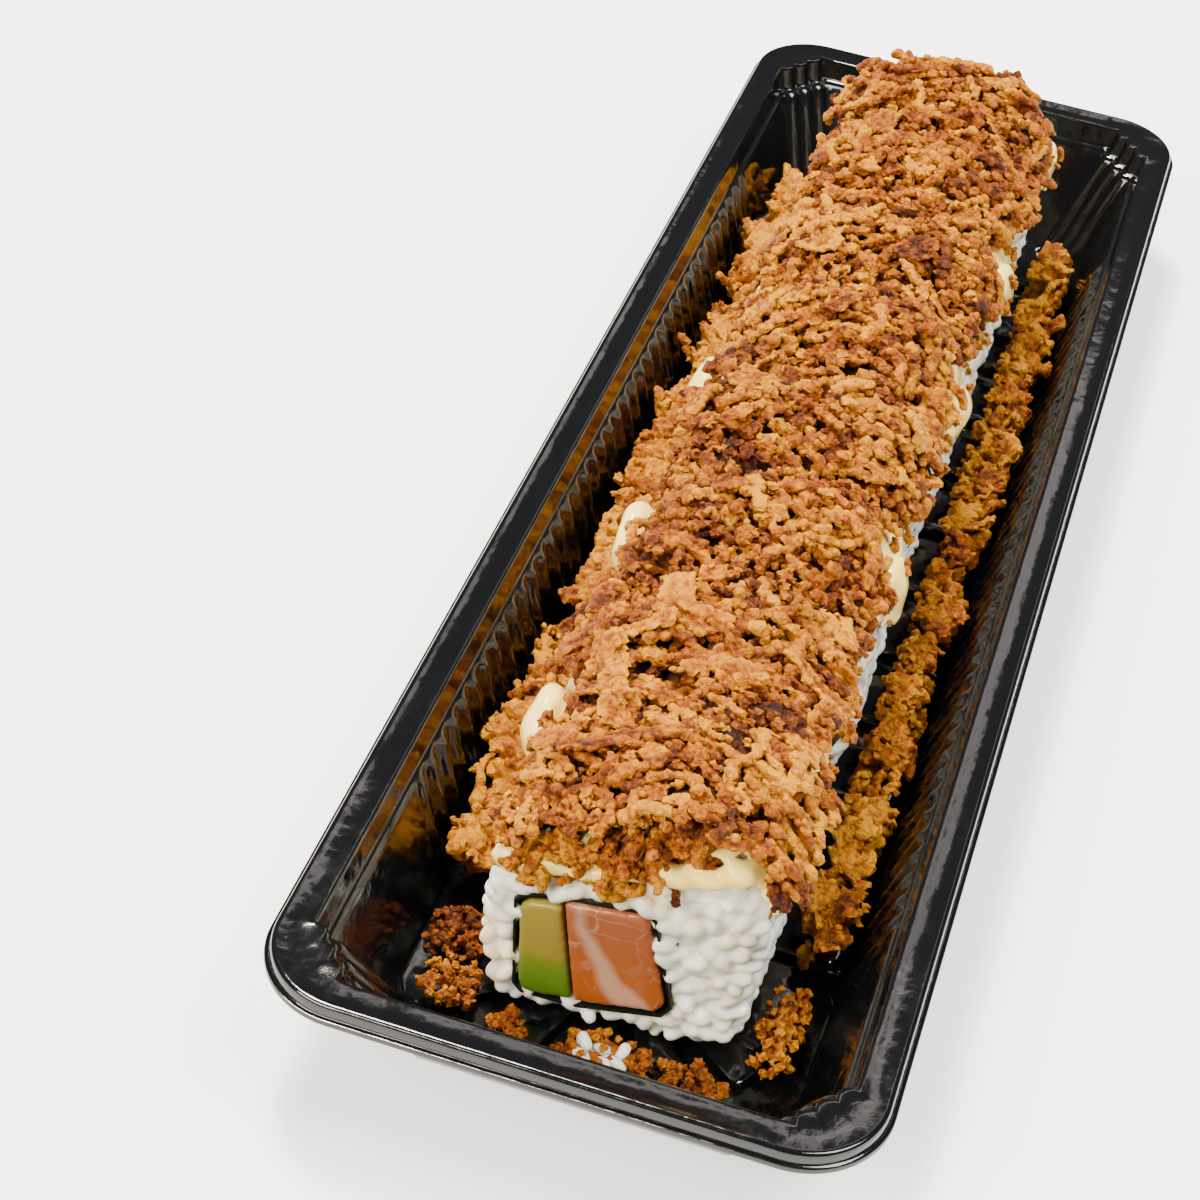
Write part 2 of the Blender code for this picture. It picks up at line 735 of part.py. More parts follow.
def surface_frame(core_tree, rng, point, direction, sink):
    """Place for a piece on the core: tangent to it, with a random turn and tilt."""
    hit = core_tree.ray_cast(point, direction)
    if hit[0] is None:
        return None
    normal = hit[1] if hit[1].dot(direction) < 0 else -hit[1]
    turn = Matrix.Rotation(rng.uniform(0, 2 * math.pi), 4, "Z")
    tilt = Matrix.Rotation(rng.uniform(-0.5, 0.5), 4, "X") @ Matrix.Rotation(rng.uniform(-0.3, 0.3), 4, "Y")
    align = normal.to_track_quat("Z", "Y").to_matrix().to_4x4()
    spot = hit[0] + normal * sink
    return Matrix.Translation(spot) @ align @ tilt @ turn


def build_topping(rices, mats):
    rice_tree = bvh_of(rices)
    start = FRONT_Y + 0.6
    end = FRONT_Y + PITCH * (SLICES - 1) + THICK - 0.6

    def mayo_left(y):
        return math.radians(136.0 + 12.0 * drip(y, MAYO_DRIPS_LEFT, 8.0) + 3.0 * math.sin(y * 0.31))

    def mayo_right(y):
        return math.radians(38.0 - 13.0 * drip(y, MAYO_DRIPS_RIGHT, 8.0) + 3.0 * math.sin(y * 0.27 + 1.0))

    def mayo_thick(a, y):
        return 1.3 + 0.6 * math.sin(3.0 * a + 0.4 * y) * math.sin(0.5 * y + a)

    mayo = draped_sheet("mayonnaise", rice_tree, 6, 24, start, end, mayo_left, mayo_right, 0.3, mayo_thick, mats["mayo"])
    under_tree = bvh_of(rices + [mayo])

    def onion_left(y):
        return math.radians(137.0 - 8.0 * drip(y, MAYO_DRIPS_LEFT, 7.0) + 4.0 * math.sin(y * 0.43))

    def onion_right(y):
        return math.radians(42.0 + 9.0 * drip(y, MAYO_DRIPS_RIGHT, 7.0) + 4.0 * math.sin(y * 0.37 + 2.0))

    def onion_thick(a, y):
        across = math.sin(max(0.0, min(math.pi, (a - 0.62) / 1.9 * math.pi)))
        hump = 0.5 + 0.5 * math.cos(2 * math.pi * (y - FRONT_Y - 0.45 * PITCH) / PITCH)
        return 0.7 + across * (0.7 + 2.9 * hump) + 0.35 * math.sin(2.7 * a + 0.9 * y)

    core = draped_sheet(
        "onion_top", under_tree, 6, 30, start + 0.8, end - 0.8, onion_left, onion_right, 0.3, onion_thick, mats["onion"],
    )
    core_tree = bvh_of([core])
    rng = random.Random(SEED + 500)
    group = bpy.data.collections.new("flakes")
    bpy.context.scene.collection.children.link(group)
    sizes = sorted((rng.choice((13.0, 11.0, 10.0, 9.0, 8.0, 7.0)) for _ in range(38)), reverse=True)
    placed = 0
    for size in sizes:
        for _ in range(6):
            y = rng.uniform(start + 3.0, end - 3.0)
            a = rng.uniform(onion_right(y) + 0.08, onion_left(y) - 0.08)
            direction = Vector((math.cos(a), 0.0, math.sin(a)))
            point = Vector((0.0, y, AXIS_Z)) + direction * RAY
            place = surface_frame(core_tree, rng, point, -direction, 0.3)
            kind = "flake" if size > 7.5 else "crumb"
            if place is not None and try_piece(rng, group, "flake%d" % placed, place, [under_tree], kind, size):
                placed += 1
                break
    fuse_pieces(core, group)
    return mayo, core


def wall_reach(z):
    """Distance from the middle to the crest of the flutes at a height."""
    top = RIM_Z - TEETH_DROP
    start = TEETH_IN + TEETH_OUT
    share = (top - z) / (top - FLOOR_TOP)
    return OPEN_X - start - share * (WALL_IN + 0.5 * FLUTE_DEPTH - start)


def build_side_heap(name, side, y0, y1, height, tree, mat, seed):
    """Long low heap between the roll and the wall, with flakes fused on."""
    rng = random.Random(seed)
    rows = 18
    bm = bmesh.new()
    rings = []
    for j in range(rows + 1):
        y = y0 + (y1 - y0) * j / rows
        taper = min(1.0, 0.4 + 2.4 * min(j, rows - j) / rows)
        h = taper * height * (1.0 + 0.25 * math.sin(0.23 * y + seed) + rng.uniform(-0.2, 0.2))
        corner = 0.6 * max(0.0, y - 108.0)
        inner = 22.3 + rng.uniform(0.0, 0.5)
        foot = wall_reach(FOOD_Z) - 0.5 - corner - rng.uniform(0.0, 0.9)
        shoulder = wall_reach(FOOD_Z + 0.5 * h) - 0.5 - corner - rng.uniform(0.0, 1.4)
        profile = [
            (inner, FOOD_Z), (inner, FOOD_Z + 0.75 * h), (0.6 * inner + 0.4 * shoulder, FOOD_Z + h),
            (shoulder, FOOD_Z + 0.5 * h), (foot, FOOD_Z),
        ]
        rings.append([bm.verts.new((side * x, y, z)) for x, z in profile])
    for j in range(rows):
        bridge(bm, rings[j], rings[j + 1])
    bm.faces.new(rings[0])
    bm.faces.new(rings[rows])
    core = make_object(name, bm, mat, split=True)
    core_tree = bvh_of([core])
    group = bpy.data.collections.new(name + "_pieces")
    bpy.context.scene.collection.children.link(group)
    sizes = sorted((rng.choice((11.0, 9.0, 8.0, 6.0, 5.0, 5.0)) for _ in range(21)), reverse=True)
    placed = 0
    for size in sizes:
        for _ in range(8):
            y = rng.uniform(y0 + 2.0, y1 - 2.0)
            x = side * rng.uniform(23.0, 29.0)
            place = surface_frame(core_tree, rng, Vector((x, y, RAY)), Vector((0.0, 0.0, -1.0)), -0.3)
            kind = "flake" if size > 7.5 else "crumb"
            if place is not None and try_piece(rng, group, name + str(placed), place, [tree], kind, size):
                placed += 1
                break
    fuse_pieces(core, group)
    return core


# Loose pieces in front of the roll: centre, length, number of knobs, height
LOOSE = [
    ("onion_front_1", -23.8, -103.6, 11.5, 20.0, 3),
    ("onion_front_2", -21.6, -114.2, 10.5, -25.0, 3),
    ("onion_front_3", -12.6, -118.4, 8.0, 10.0, 2),
    ("onion_front_4", 2.5, -118.6, 14.0, -4.0, 4),
    ("onion_front_5", 16.0, -118.9, 11.5, -12.0, 4),
    ("onion_front_6", 25.0, -103.6, 19.0, 80.0, 6),
]


def build_loose(entry, tree, mat, seed):
    """Joined knobs along a short line, like one crisp cluster."""
    name, cx, cy, length, turn, knobs = entry
    rng = random.Random(seed)
    direction = Vector((math.cos(math.radians(turn)), math.sin(math.radians(turn)), 0.0))
    across = Vector((-direction.y, direction.x, 0.0))
    core_size = 4.6 if knobs > 3 else 4.0
    spots = []
    for k in range(knobs):
        t = (k + 0.5) / knobs - 0.5
        spot = Vector((cx, cy, FOOD_Z + 2.0)) + direction * (t * (length - 4.0)) + across * rng.uniform(-0.8, 0.8)
        spots.append(spot)
    bm = bmesh.new()
    bmesh.ops.create_icosphere(bm, subdivisions=1, radius=0.5)
    for v in bm.verts:
        stretched = direction * (v.co.x * length * 0.9) + across * (v.co.y * core_size) + Vector((0, 0, v.co.z * 3.2))
        v.co = Vector((cx, cy, FOOD_Z + 1.7)) + stretched
    core = make_object(name, bm, mat)
    group = bpy.data.collections.new(name + "_knobs")
    bpy.context.scene.collection.children.link(group)
    for k, spot in enumerate(spots):
        for _ in range(10):
            lift = Vector((0.0, 0.0, rng.uniform(-0.2, 1.2)))
            place = Matrix.Translation(spot + lift) @ Matrix.Rotation(rng.uniform(0, 6.28), 4, "Z")
            if try_piece(rng, group, name + str(k), place, [tree], "crumb", rng.uniform(4.4, 6.4)):
                break
    fuse_pieces(core, group)
    low = min(v.co.z for v in core.data.vertices) / MM
    for v in core.data.vertices:
        v.co.z += (FOOD_Z - low) * MM
    return core


def main():
    clear_scene()
    mats = {
        "tray": material("tray_plastic", (0.012, 0.012, 0.013), 0.18),
        "rice": material("rice", (0.80, 0.80, 0.76), 0.45),
        "nori": material("nori", (0.010, 0.014, 0.010), 0.6),
        "avocado": material("avocado", (0.42, 0.52, 0.10), 0.45),
        "salmon": material("salmon", (0.80, 0.30, 0.14), 0.35),
        "mayo": material("mayonnaise", (0.86, 0.78, 0.52), 0.3),
        "onion": material("fried_onion", (0.50, 0.22, 0.05), 0.55),
    }
    tray = build_tray(mats["tray"])
    rices = [build_rice(i, mats["rice"]) for i in range(SLICES)]
    for i in range(SLICES):
        build_filling(i, mats)
    mayo, top = build_topping(rices, mats)
    around = bvh_of([tray] + rices + [mayo, top])
    right = build_side_heap("onion_right", 1, -88.0, 113.0, 7.0, around, mats["onion"], 3)
    left = build_side_heap("onion_left", -1, -92.0, 113.0, 9.0, around, mats["onion"], 9)
    around = bvh_of([tray] + rices + [mayo, top, right, left])
    for i, entry in enumerate(LOOSE):
        build_loose(entry, around, mats["onion"], SEED + 900 + i)


main()
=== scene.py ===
import json
import math
import random

import bmesh
import bpy
import numpy as np
from mathutils import Euler, Matrix, Vector, noise
from mathutils.bvhtree import BVHTree
from mathutils.kdtree import KDTree

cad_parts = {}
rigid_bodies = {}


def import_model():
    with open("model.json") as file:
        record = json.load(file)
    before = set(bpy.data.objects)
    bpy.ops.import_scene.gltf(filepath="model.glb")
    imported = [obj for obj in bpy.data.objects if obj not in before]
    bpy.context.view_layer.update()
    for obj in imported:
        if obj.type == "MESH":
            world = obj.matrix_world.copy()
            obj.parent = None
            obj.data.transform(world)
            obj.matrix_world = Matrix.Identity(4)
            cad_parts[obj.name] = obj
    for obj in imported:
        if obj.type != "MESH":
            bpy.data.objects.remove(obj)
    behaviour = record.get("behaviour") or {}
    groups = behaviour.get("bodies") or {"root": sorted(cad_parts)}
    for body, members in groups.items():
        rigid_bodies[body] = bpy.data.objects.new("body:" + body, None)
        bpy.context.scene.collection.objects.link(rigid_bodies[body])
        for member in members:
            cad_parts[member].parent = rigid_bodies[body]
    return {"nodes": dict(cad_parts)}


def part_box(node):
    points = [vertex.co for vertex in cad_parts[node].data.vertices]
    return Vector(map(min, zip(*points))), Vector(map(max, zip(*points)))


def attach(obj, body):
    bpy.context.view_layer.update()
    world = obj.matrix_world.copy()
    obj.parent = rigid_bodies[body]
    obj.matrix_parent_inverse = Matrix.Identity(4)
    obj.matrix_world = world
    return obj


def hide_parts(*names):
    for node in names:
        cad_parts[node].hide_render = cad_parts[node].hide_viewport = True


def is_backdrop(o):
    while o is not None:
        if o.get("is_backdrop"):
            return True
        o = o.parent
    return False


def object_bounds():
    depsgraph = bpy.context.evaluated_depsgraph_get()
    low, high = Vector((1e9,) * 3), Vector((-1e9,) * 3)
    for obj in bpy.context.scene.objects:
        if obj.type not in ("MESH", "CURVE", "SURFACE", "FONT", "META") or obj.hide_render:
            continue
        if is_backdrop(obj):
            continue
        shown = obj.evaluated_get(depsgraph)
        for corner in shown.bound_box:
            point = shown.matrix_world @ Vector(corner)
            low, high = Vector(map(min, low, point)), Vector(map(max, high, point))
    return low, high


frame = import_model()
cad_low, cad_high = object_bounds()
MM = 0.001


# Tray
# One sheet of black polystyrene, 0.6 mm thick, drawn hot into a polished mould: a flat rim with a
# narrow lip, scalloped corners, a toothed ledge, fluted long walls and raised plates on the floor.
RIM_Z = 25.0
SHEET = 0.6
OPEN_X = 38.0
OPEN_Y = 136.0
RIM_WIDTH = 4.85
RIM_DIP = 0.25
OUTER_RADIUS = 12.0
NOTCH_X = 6.5
NOTCH_Y = 8.5
LOBES = 3
LOBE_BULGE = 1.1
LOBE_STEPS = 30
LEDGE_IN = 1.4
WALL_IN = 7.6
END_SLOPE = 1.71
CORNER_SLOPE = 1.25
FLUTES = 40
FLUTE_PITCH = 4.7
COLUMNS_PER_FLUTE = 8
WAVES = {"step": (-0.1, 0.25), "tooth": (-0.35, 0.75), "swell": (-0.35, 0.75), "flute": (-0.6, 0.6)}
FLOOR_TOP = 0.6
PAD_TOP = 2.1
BARS = 10
BAR_PITCH = 18.0
BAR_HALF = (29.2, 6.0)
FAN_Y = 97.5


def add(tree, kind, values=None, links=None, **settings):
    """Adds a node: its settings, the numbers on its sockets, and what feeds them."""
    made = tree.nodes.new(kind)
    for key, value in settings.items():
        setattr(made, key, value)
    for key, value in (values or {}).items():
        made.inputs[key].default_value = value
    for key, source in (links or {}).items():
        tree.links.new(source, made.inputs[key])
    return made


def colour(text):
    """Linear colour of an sRGB hex value."""
    parts = [int(text[i:i + 2], 16) / 255.0 for i in (1, 3, 5)]
    return [c / 12.92 if c <= 0.04045 else ((c + 0.055) / 1.055) ** 2.4 for c in parts] + [1.0]


def finish_of(name, **values):
    """New material, its tree, its shader with the numbers set all over, and its object coordinates."""
    made = bpy.data.materials.new(name)
    made.use_nodes = True
    shader = made.node_tree.nodes["Principled BSDF"]
    for key, value in values.items():
        shader.inputs[key.replace("_", " ")].default_value = value
    return made, made.node_tree, shader, add(made.node_tree, "ShaderNodeTexCoord").outputs["Object"]


def noise_at(tree, place, scale, detail, roughness=0.5, distortion=0.0):
    """Noise, with its scale in waves per metre."""
    values = {"Scale": scale, "Detail": detail, "Roughness": roughness, "Distortion": distortion}
    return add(tree, "ShaderNodeTexNoise", values, {"Vector": place}).outputs["Fac"]


def calc(tree, operation, *values):
    """Math node; each value is a number or the socket that feeds it."""
    made = add(tree, "ShaderNodeMath", operation=operation)
    for i, value in enumerate(values):
        if isinstance(value, float):
            made.inputs[i].default_value = value
        else:
            tree.links.new(value, made.inputs[i])
    return made.outputs[0]


def ramp(tree, source, stops):
    """Colour ramp through hex colours or grey values."""
    made = add(tree, "ShaderNodeValToRGB", links={"Fac": source})
    elements = made.color_ramp.elements
    while len(elements) < len(stops):
        elements.new(0.5)
    for element, (place, value) in zip(elements, stops):
        element.position = place
        element.color = colour(value) if isinstance(value, str) else (value, value, value, 1.0)
    return made.outputs["Color"]


def bumped(tree, shader, height, strength, distance):
    """Bumps a material by a height, with the depth in metres."""
    bump = add(tree, "ShaderNodeBump", {"Strength": strength, "Distance": distance}, {"Height": height})
    tree.links.new(bump.outputs["Normal"], shader.inputs["Normal"])


def new_object(name, data):
    made = bpy.data.objects.new(name, data)
    bpy.context.scene.collection.objects.link(made)
    return made


def mesh_of(name, verts, faces):
    mesh = bpy.data.meshes.new(name)
    mesh.from_pydata([tuple(v) for v in verts], [], [tuple(int(i) for i in f) for f in faces])
    return mesh


def outward(mesh):
    """Turns every face outwards."""
    bm = bmesh.new()
    bm.from_mesh(mesh)
    bmesh.ops.recalc_face_normals(bm, faces=bm.faces)
    bm.to_mesh(mesh)
    bm.free()


def evaluated(ob):
    """Plain mesh of an object as its modifiers leave it, and the modifiers removed."""
    graph = bpy.context.evaluated_depsgraph_get()
    mesh = bpy.data.meshes.new_from_object(ob.evaluated_get(graph), depsgraph=graph)
    ob.modifiers.clear()
    return mesh


def quarter_columns():
    """Columns of one quarter: inner edge, way inward, lean, outer edge, way outward, dip, flute, phase."""
    half = 0.5 * FLUTES * FLUTE_PITCH
    near = OPEN_Y - NOTCH_Y - 3.0
    side = OPEN_X - NOTCH_X - 3.0
    outer_x = OPEN_X + RIM_WIDTH
    outer_y = OPEN_Y + RIM_WIDTH
    rows = []
    for k in range(FLUTES // 2 * COLUMNS_PER_FLUTE + 1):
        y = k * FLUTE_PITCH / COLUMNS_PER_FLUTE
        fade = min(1.0, (half - y) / (0.6 * FLUTE_PITCH))
        rows.append((OPEN_X, y, 1, 0, 1, 0, outer_x, y, 1, 0, RIM_DIP, fade, y / FLUTE_PITCH))
    for k in range(1, 7):
        t = k / 6
        y = half + (near - half) * t
        rows.append((OPEN_X, y, 1, t, 1, t * END_SLOPE, outer_x, y, 1, 0, RIM_DIP, 0, 0))
    diagonal = math.hypot(NOTCH_X, NOTCH_Y)
    for k in range(-2, LOBE_STEPS + 3):
        t = min(1.0, max(0.0, k / LOBE_STEPS))
        before = max(0, -k)
        after = max(0, k - LOBE_STEPS)
        corner = 1.0 - min(1.0, (before + after) / 3.0)
        bulge = LOBE_BULGE * abs(math.sin(math.pi * LOBES * t)) ** 0.8
        x = OPEN_X - NOTCH_X * t - bulge * NOTCH_Y / diagonal - after
        y = OPEN_Y - NOTCH_Y * (1.0 - t) - bulge * NOTCH_X / diagonal - before
        angle = 0.5 * math.pi * t
        ox = outer_x - OUTER_RADIUS + OUTER_RADIUS * math.cos(angle) - after
        oy = outer_y - OUTER_RADIUS + OUTER_RADIUS * math.sin(angle) - before
        lean = 1.0 + (CORNER_SLOPE - 1.0) * corner
        dip = RIM_DIP * (1.0 - corner)
        rows.append((x, y, 1, 1, lean, END_SLOPE, ox, oy, math.cos(angle), math.sin(angle), dip, 0, 0))
    for k in range(9):
        t = 1.0 - k / 8
        rows.append((side * t, OPEN_Y, t, 1, t, END_SLOPE, side * t, outer_y, 0, 1, RIM_DIP, 0, 0))
    return np.array(rows)


def all_columns():
    quarter = quarter_columns()
    mirror_x = np.array([-1, 1, -1, 1, -1, 1, -1, 1, -1, 1, 1, 1, 1])
    mirror_y = np.array([1, -1, 1, -1, 1, -1, 1, -1, 1, -1, 1, 1, 1])
    second = (quarter * mirror_x)[::-1][1:]
    third = (quarter * mirror_x * mirror_y)[1:]
    fourth = (quarter * mirror_y)[::-1][1:-1]
    return np.concatenate([quarter, second, third, fourth])


def tray_ring(columns, kind, offset, z, shape=""):
    """Points of one ring of the tray's profile; the shape is one of the waves, or the dip of the rim."""
    inner = columns[:, 0:2]
    rim = columns[:, 6:8]
    height = np.full(len(columns), RIM_Z + z)
    if kind == "outer":
        flat = rim + columns[:, 8:10] * offset
    elif kind == "rim":
        flat = rim * (1.0 - offset) + inner * offset
        height -= columns[:, 10] * offset
    else:
        inset = np.full(len(columns), offset)
        if shape in WAVES:
            crest = 1.0 - 2.0 * np.abs(columns[:, 12] % 1.0 - 0.5)
            if shape in ("swell", "flute"):
                crest = 0.5 - 0.5 * np.cos(math.pi * crest)
            low, high = WAVES[shape]
            inset += (low + (high - low) * crest) * columns[:, 11]
        above = np.minimum(inset, LEDGE_IN)[:, None]
        below = inset[:, None] - above
        flat = inner - columns[:, 2:4] * above - columns[:, 4:6] * below
        if shape == "dip":
            height -= columns[:, 10]
    return np.column_stack([flat, height])


def rounded(points, cut, steps=5):
    """Outline with its corners turned into curves that start the given length before each corner."""
    out = []
    for i, corner in enumerate(points):
        corner = np.array(corner)
        before = np.array(points[i - 1]) - corner
        after = np.array(points[(i + 1) % len(points)]) - corner
        a = corner + before * min(0.45, cut / np.linalg.norm(before))
        b = corner + after * min(0.45, cut / np.linalg.norm(after))
        for k in range(steps):
            t = k / (steps - 1)
            out.append(a * (1 - t) ** 2 + corner * 2 * t * (1 - t) + b * t ** 2)
    return np.array(out)


def grown(outline, amount):
    """Outline moved outwards by an amount."""
    ahead = np.roll(outline, -1, axis=0) - np.roll(outline, 1, axis=0)
    normal = np.column_stack([ahead[:, 1], -ahead[:, 0]])
    normal /= np.linalg.norm(normal, axis=1)[:, None]
    centre = outline.mean(axis=0)
    if ((outline - centre) * normal).sum() < 0:
        normal = -normal
    return outline + normal * amount


def floor_plates():
    """Outlines of the raised plates: bars across the floor, and a fan of plates at each end."""
    plates = []
    x, half = BAR_HALF
    for i in range(BARS):
        y = BAR_PITCH * (i - 0.5 * (BARS - 1))
        plates.append(rounded([(-x, y - half), (x, y - half), (x, y + half), (-x, y + half)], 3.2))
    for end in (-1, 1):
        for angle, r0, r1, w0, w1 in (
            (0, 9.0, 23.5, 1.6, 4.2), (30, 9.0, 25.0, 1.6, 4.2), (-30, 9.0, 25.0, 1.6, 4.2),
            (60, 10.0, 26.5, 1.6, 4.0), (-60, 10.0, 26.5, 1.6, 4.0),
        ):
            turn = math.radians(angle)
            along = np.array([math.sin(turn), end * math.cos(turn)])
            across = np.array([-along[1] * end, along[0] * end])
            start = np.array([0.0, end * FAN_Y])
            reach = ((r0, -w0), (r1, -w1), (r1, w1), (r0, w0))
            plates.append(rounded([start + along * r + across * w for r, w in reach], 1.5))
    return plates


def tube(name, rings):
    """Closed solid through rings of points, in millimetres, with a flat face at both ends."""
    count = len(rings[0])
    faces = []
    for k in range(len(rings) - 1):
        for i in range(count):
            j = (i + 1) % count
            faces.append((k * count + i, k * count + j, (k + 1) * count + j, (k + 1) * count + i))
    faces.append(tuple(range(count)))
    faces.append(tuple((len(rings) - 1) * count + i for i in range(count)))
    mesh = mesh_of(name, np.concatenate(rings) * MM, faces)
    outward(mesh)
    return mesh


def stack(name, outline, levels):
    """Closed solid from one outline at several heights; each level is a height and a growth."""
    return tube(name, [
        np.column_stack([grown(outline, growth), np.full(len(outline), z)]) for z, growth in levels
    ])


def make_tray():
    columns = all_columns()
    top = [
        ("outer", 1.15, -2.75), ("outer", 1.15, -2.10), ("outer", 1.06, -1.94), ("outer", 0.66, -1.88),
        ("outer", 0.50, -1.74), ("outer", 0.34, -0.80), ("outer", 0.24, -0.36), ("outer", 0.06, -0.12),
        ("outer", -0.25, 0.0), ("outer", -0.60, -0.03),
        ("rim", 0.22, -0.10), ("rim", 0.5, -0.14), ("rim", 0.76, -0.08),
        ("inner", -0.62, 0.0, "dip"), ("inner", -0.30, -0.02, "dip"), ("inner", -0.06, -0.14, "dip"),
        ("inner", 0.06, -0.38, "dip"), ("inner", 0.14, -0.75, "dip"), ("inner", 0.52, -2.4),
        ("inner", 0.86, -3.78), ("inner", 0.96, -4.08), ("inner", 1.16, -4.26), ("inner", 1.40, -4.32),
        ("inner", 1.66, -4.62, "step"), ("inner", 1.95, -5.40, "tooth"), ("inner", 2.2, -6.3, "swell"),
    ]
    steps = 6
    for k in range(1, steps + 1):
        t = k / steps
        top.append(("inner", 2.2 + (WALL_IN - 0.35 - 2.2) * t, -6.3 - 16.9 * t, "flute"))
    top += [
        ("inner", WALL_IN - 0.12, -23.9, "flute"), ("inner", WALL_IN + 0.12, -24.25, "flute"),
        ("inner", WALL_IN + 0.5, -24.4, "flute"),
    ]
    under = [
        ("outer", 0.55, -2.75), ("outer", 0.55, -2.50), ("outer", 0.0, -2.42), ("outer", -0.26, -0.85),
        ("outer", -0.50, -0.62), ("rim", 0.5, -0.74), ("inner", -0.62, -0.62, "dip"),
        ("inner", -0.48, -0.85, "dip"), ("inner", 0.30, -4.0), ("inner", 0.55, -4.5),
        ("inner", 0.82, -4.66), ("inner", 1.30, -5.55, "tooth"), ("inner", 1.7, -6.8, "swell"),
        ("inner", WALL_IN - 0.8, -23.9, "flute"), ("inner", WALL_IN - 0.46, -25.0, "flute"),
    ]
    rings = [tray_ring(columns, *ring) for ring in top[::-1] + under]
    shell = new_object("tray_shell", tube("tray_shell", rings))
    for operation, levels, label in (
        ("UNION", [(0.3, 0.6), (1.55, 0.10), (1.92, -0.06), (PAD_TOP, -0.42)], "plates"),
        ("DIFFERENCE", [(-0.4, 0.2), (1.2, -0.5), (PAD_TOP - SHEET, -0.9)], "hollows"),
    ):
        group = bpy.data.collections.new(label)
        bpy.context.scene.collection.children.link(group)
        for i, outline in enumerate(floor_plates()):
            group.objects.link(bpy.data.objects.new(label + str(i), stack(label, outline, levels)))
        cut = shell.modifiers.new(label, "BOOLEAN")
        cut.operand_type = "COLLECTION"
        cut.collection = group
        cut.operation = operation
        cut.solver = "MANIFOLD"
        shell.data = evaluated(shell)
        for ob in list(group.objects):
            bpy.data.objects.remove(ob)
        bpy.data.collections.remove(group)
    shell.data.shade_smooth()
    shell.data.set_sharp_from_angle(angle=math.radians(34))
    return shell


# Polished black polystyrene mirrors the studio; a thin film of oil breaks the mirror up in patches
tray_plastic, tree, shader, place = finish_of(
    "black_polystyrene_thermoformed", Base_Color=colour("#08090B"), IOR=1.5,
)
stretch = add(tree, "ShaderNodeMapping", {"Scale": (1.0, 0.35, 1.0)}, {"Vector": place})
film = noise_at(tree, stretch.outputs[0], 420.0, 6.0, 0.6)
tree.links.new(
    ramp(tree, film, [(0.0, 0.08), (0.5, 0.09), (0.62, 0.13), (1.0, 0.15)]), shader.inputs["Roughness"],
)
sag = noise_at(tree, place, 75.0, 3.0)
dust = noise_at(tree, place, 1100.0, 3.0)
bumped(tree, shader, calc(tree, "MULTIPLY_ADD", dust, 0.05, sag), 0.4, 0.0009)

tray = make_tray()
tray.data.materials.clear()
tray.data.materials.append(tray_plastic)
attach(tray, "root")
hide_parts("tray")


# Rice
# Eight slices of pressed short-grain rice. Each is a soft core of the cut slice, covered with
# cooked grains where it shows. Grains and core run together, as they do when the roll is pressed.
SLICES = 8
PITCH = 28.1
FRONT_Y = -112.3
GRAIN = (4.9, 2.75, 2.5)
GRAIN_SPACING = 2.05
CORE_VOXEL = 0.9
FRONT_VOXEL = 0.4
HIDDEN_VOXEL = 0.68
RICE_SINK = 1.3
BORE_SINK = -0.5
TOP_SINK = 1.9
TOP_Z = 28.0
AXIS_Z = 17.0
FILLING = (-3.4, 14.2)


def copy_of(nodes, name):
    """One merged mesh of a few frame nodes, for a piece to start from."""
    bm = bmesh.new()
    for key in nodes:
        bm.from_mesh(frame["nodes"][key].data)
    bmesh.ops.remove_doubles(bm, verts=bm.verts, dist=1e-6)
    mesh = bpy.data.meshes.new(name)
    bm.to_mesh(mesh)
    bm.free()
    return mesh


def softened(ob, voxel, rounds):
    """Turns a coarse mesh into an even, soft one."""
    even = ob.modifiers.new("even", "REMESH")
    even.mode = "VOXEL"
    even.voxel_size = voxel * MM
    soft = ob.modifiers.new("soft", "SMOOTH")
    soft.factor = 0.5
    soft.iterations = rounds
    old = ob.data
    ob.data = evaluated(ob)
    bpy.data.meshes.remove(old)
    return ob


def coordinates(mesh):
    flat = np.zeros(len(mesh.vertices) * 3)
    mesh.vertices.foreach_get("co", flat)
    return flat.reshape(-1, 3)


def normals(mesh):
    flat = np.zeros(len(mesh.vertices) * 3)
    mesh.vertex_normals.foreach_get("vector", flat)
    return flat.reshape(-1, 3)


def moved(mesh, place):
    """Puts the points of a mesh at new places and smooths its shading."""
    mesh.vertices.foreach_set("co", place.ravel())
    mesh.update()
    mesh.shade_smooth()


def store(mesh, name, values):
    """Writes one number on each point of a mesh, for a material or a scatter to read."""
    mesh.attributes.new(name, "FLOAT", "POINT").data.foreach_set("value", np.asarray(values, np.float32))


def coat(mesh, finish):
    mesh.materials.clear()
    mesh.materials.append(finish)


def towards_filling(place, facing):
    """Below zero where the surface of a slice faces its filling."""
    return (place[:, 0] - FILLING[0]) * facing[:, 0] + (place[:, 2] - FILLING[1]) * facing[:, 2]


def grain_mesh():
    """Cooked short grain: blunt at both ends, a little bent, of a few dozen faces."""
    bm = bmesh.new()
    bmesh.ops.create_uvsphere(bm, u_segments=7, v_segments=6, radius=1.0)
    for v in bm.verts:
        along = math.copysign(abs(v.co.z) ** 0.8, v.co.z)
        around = math.hypot(v.co.x, v.co.y)
        swell = around ** 0.75 / around if around > 0.01 else 0.0
        v.co = Vector((
            0.5 * GRAIN[0] * along, 0.5 * GRAIN[1] * v.co.x * swell * (1.0 + 0.08 * along),
            0.5 * GRAIN[2] * v.co.y * swell - 0.3 * along * along,
        )) * MM
    bmesh.ops.recalc_face_normals(bm, faces=bm.faces)
    mesh = bpy.data.meshes.new("grain")
    bm.to_mesh(mesh)
    bm.free()
    mesh.shade_smooth()
    return mesh


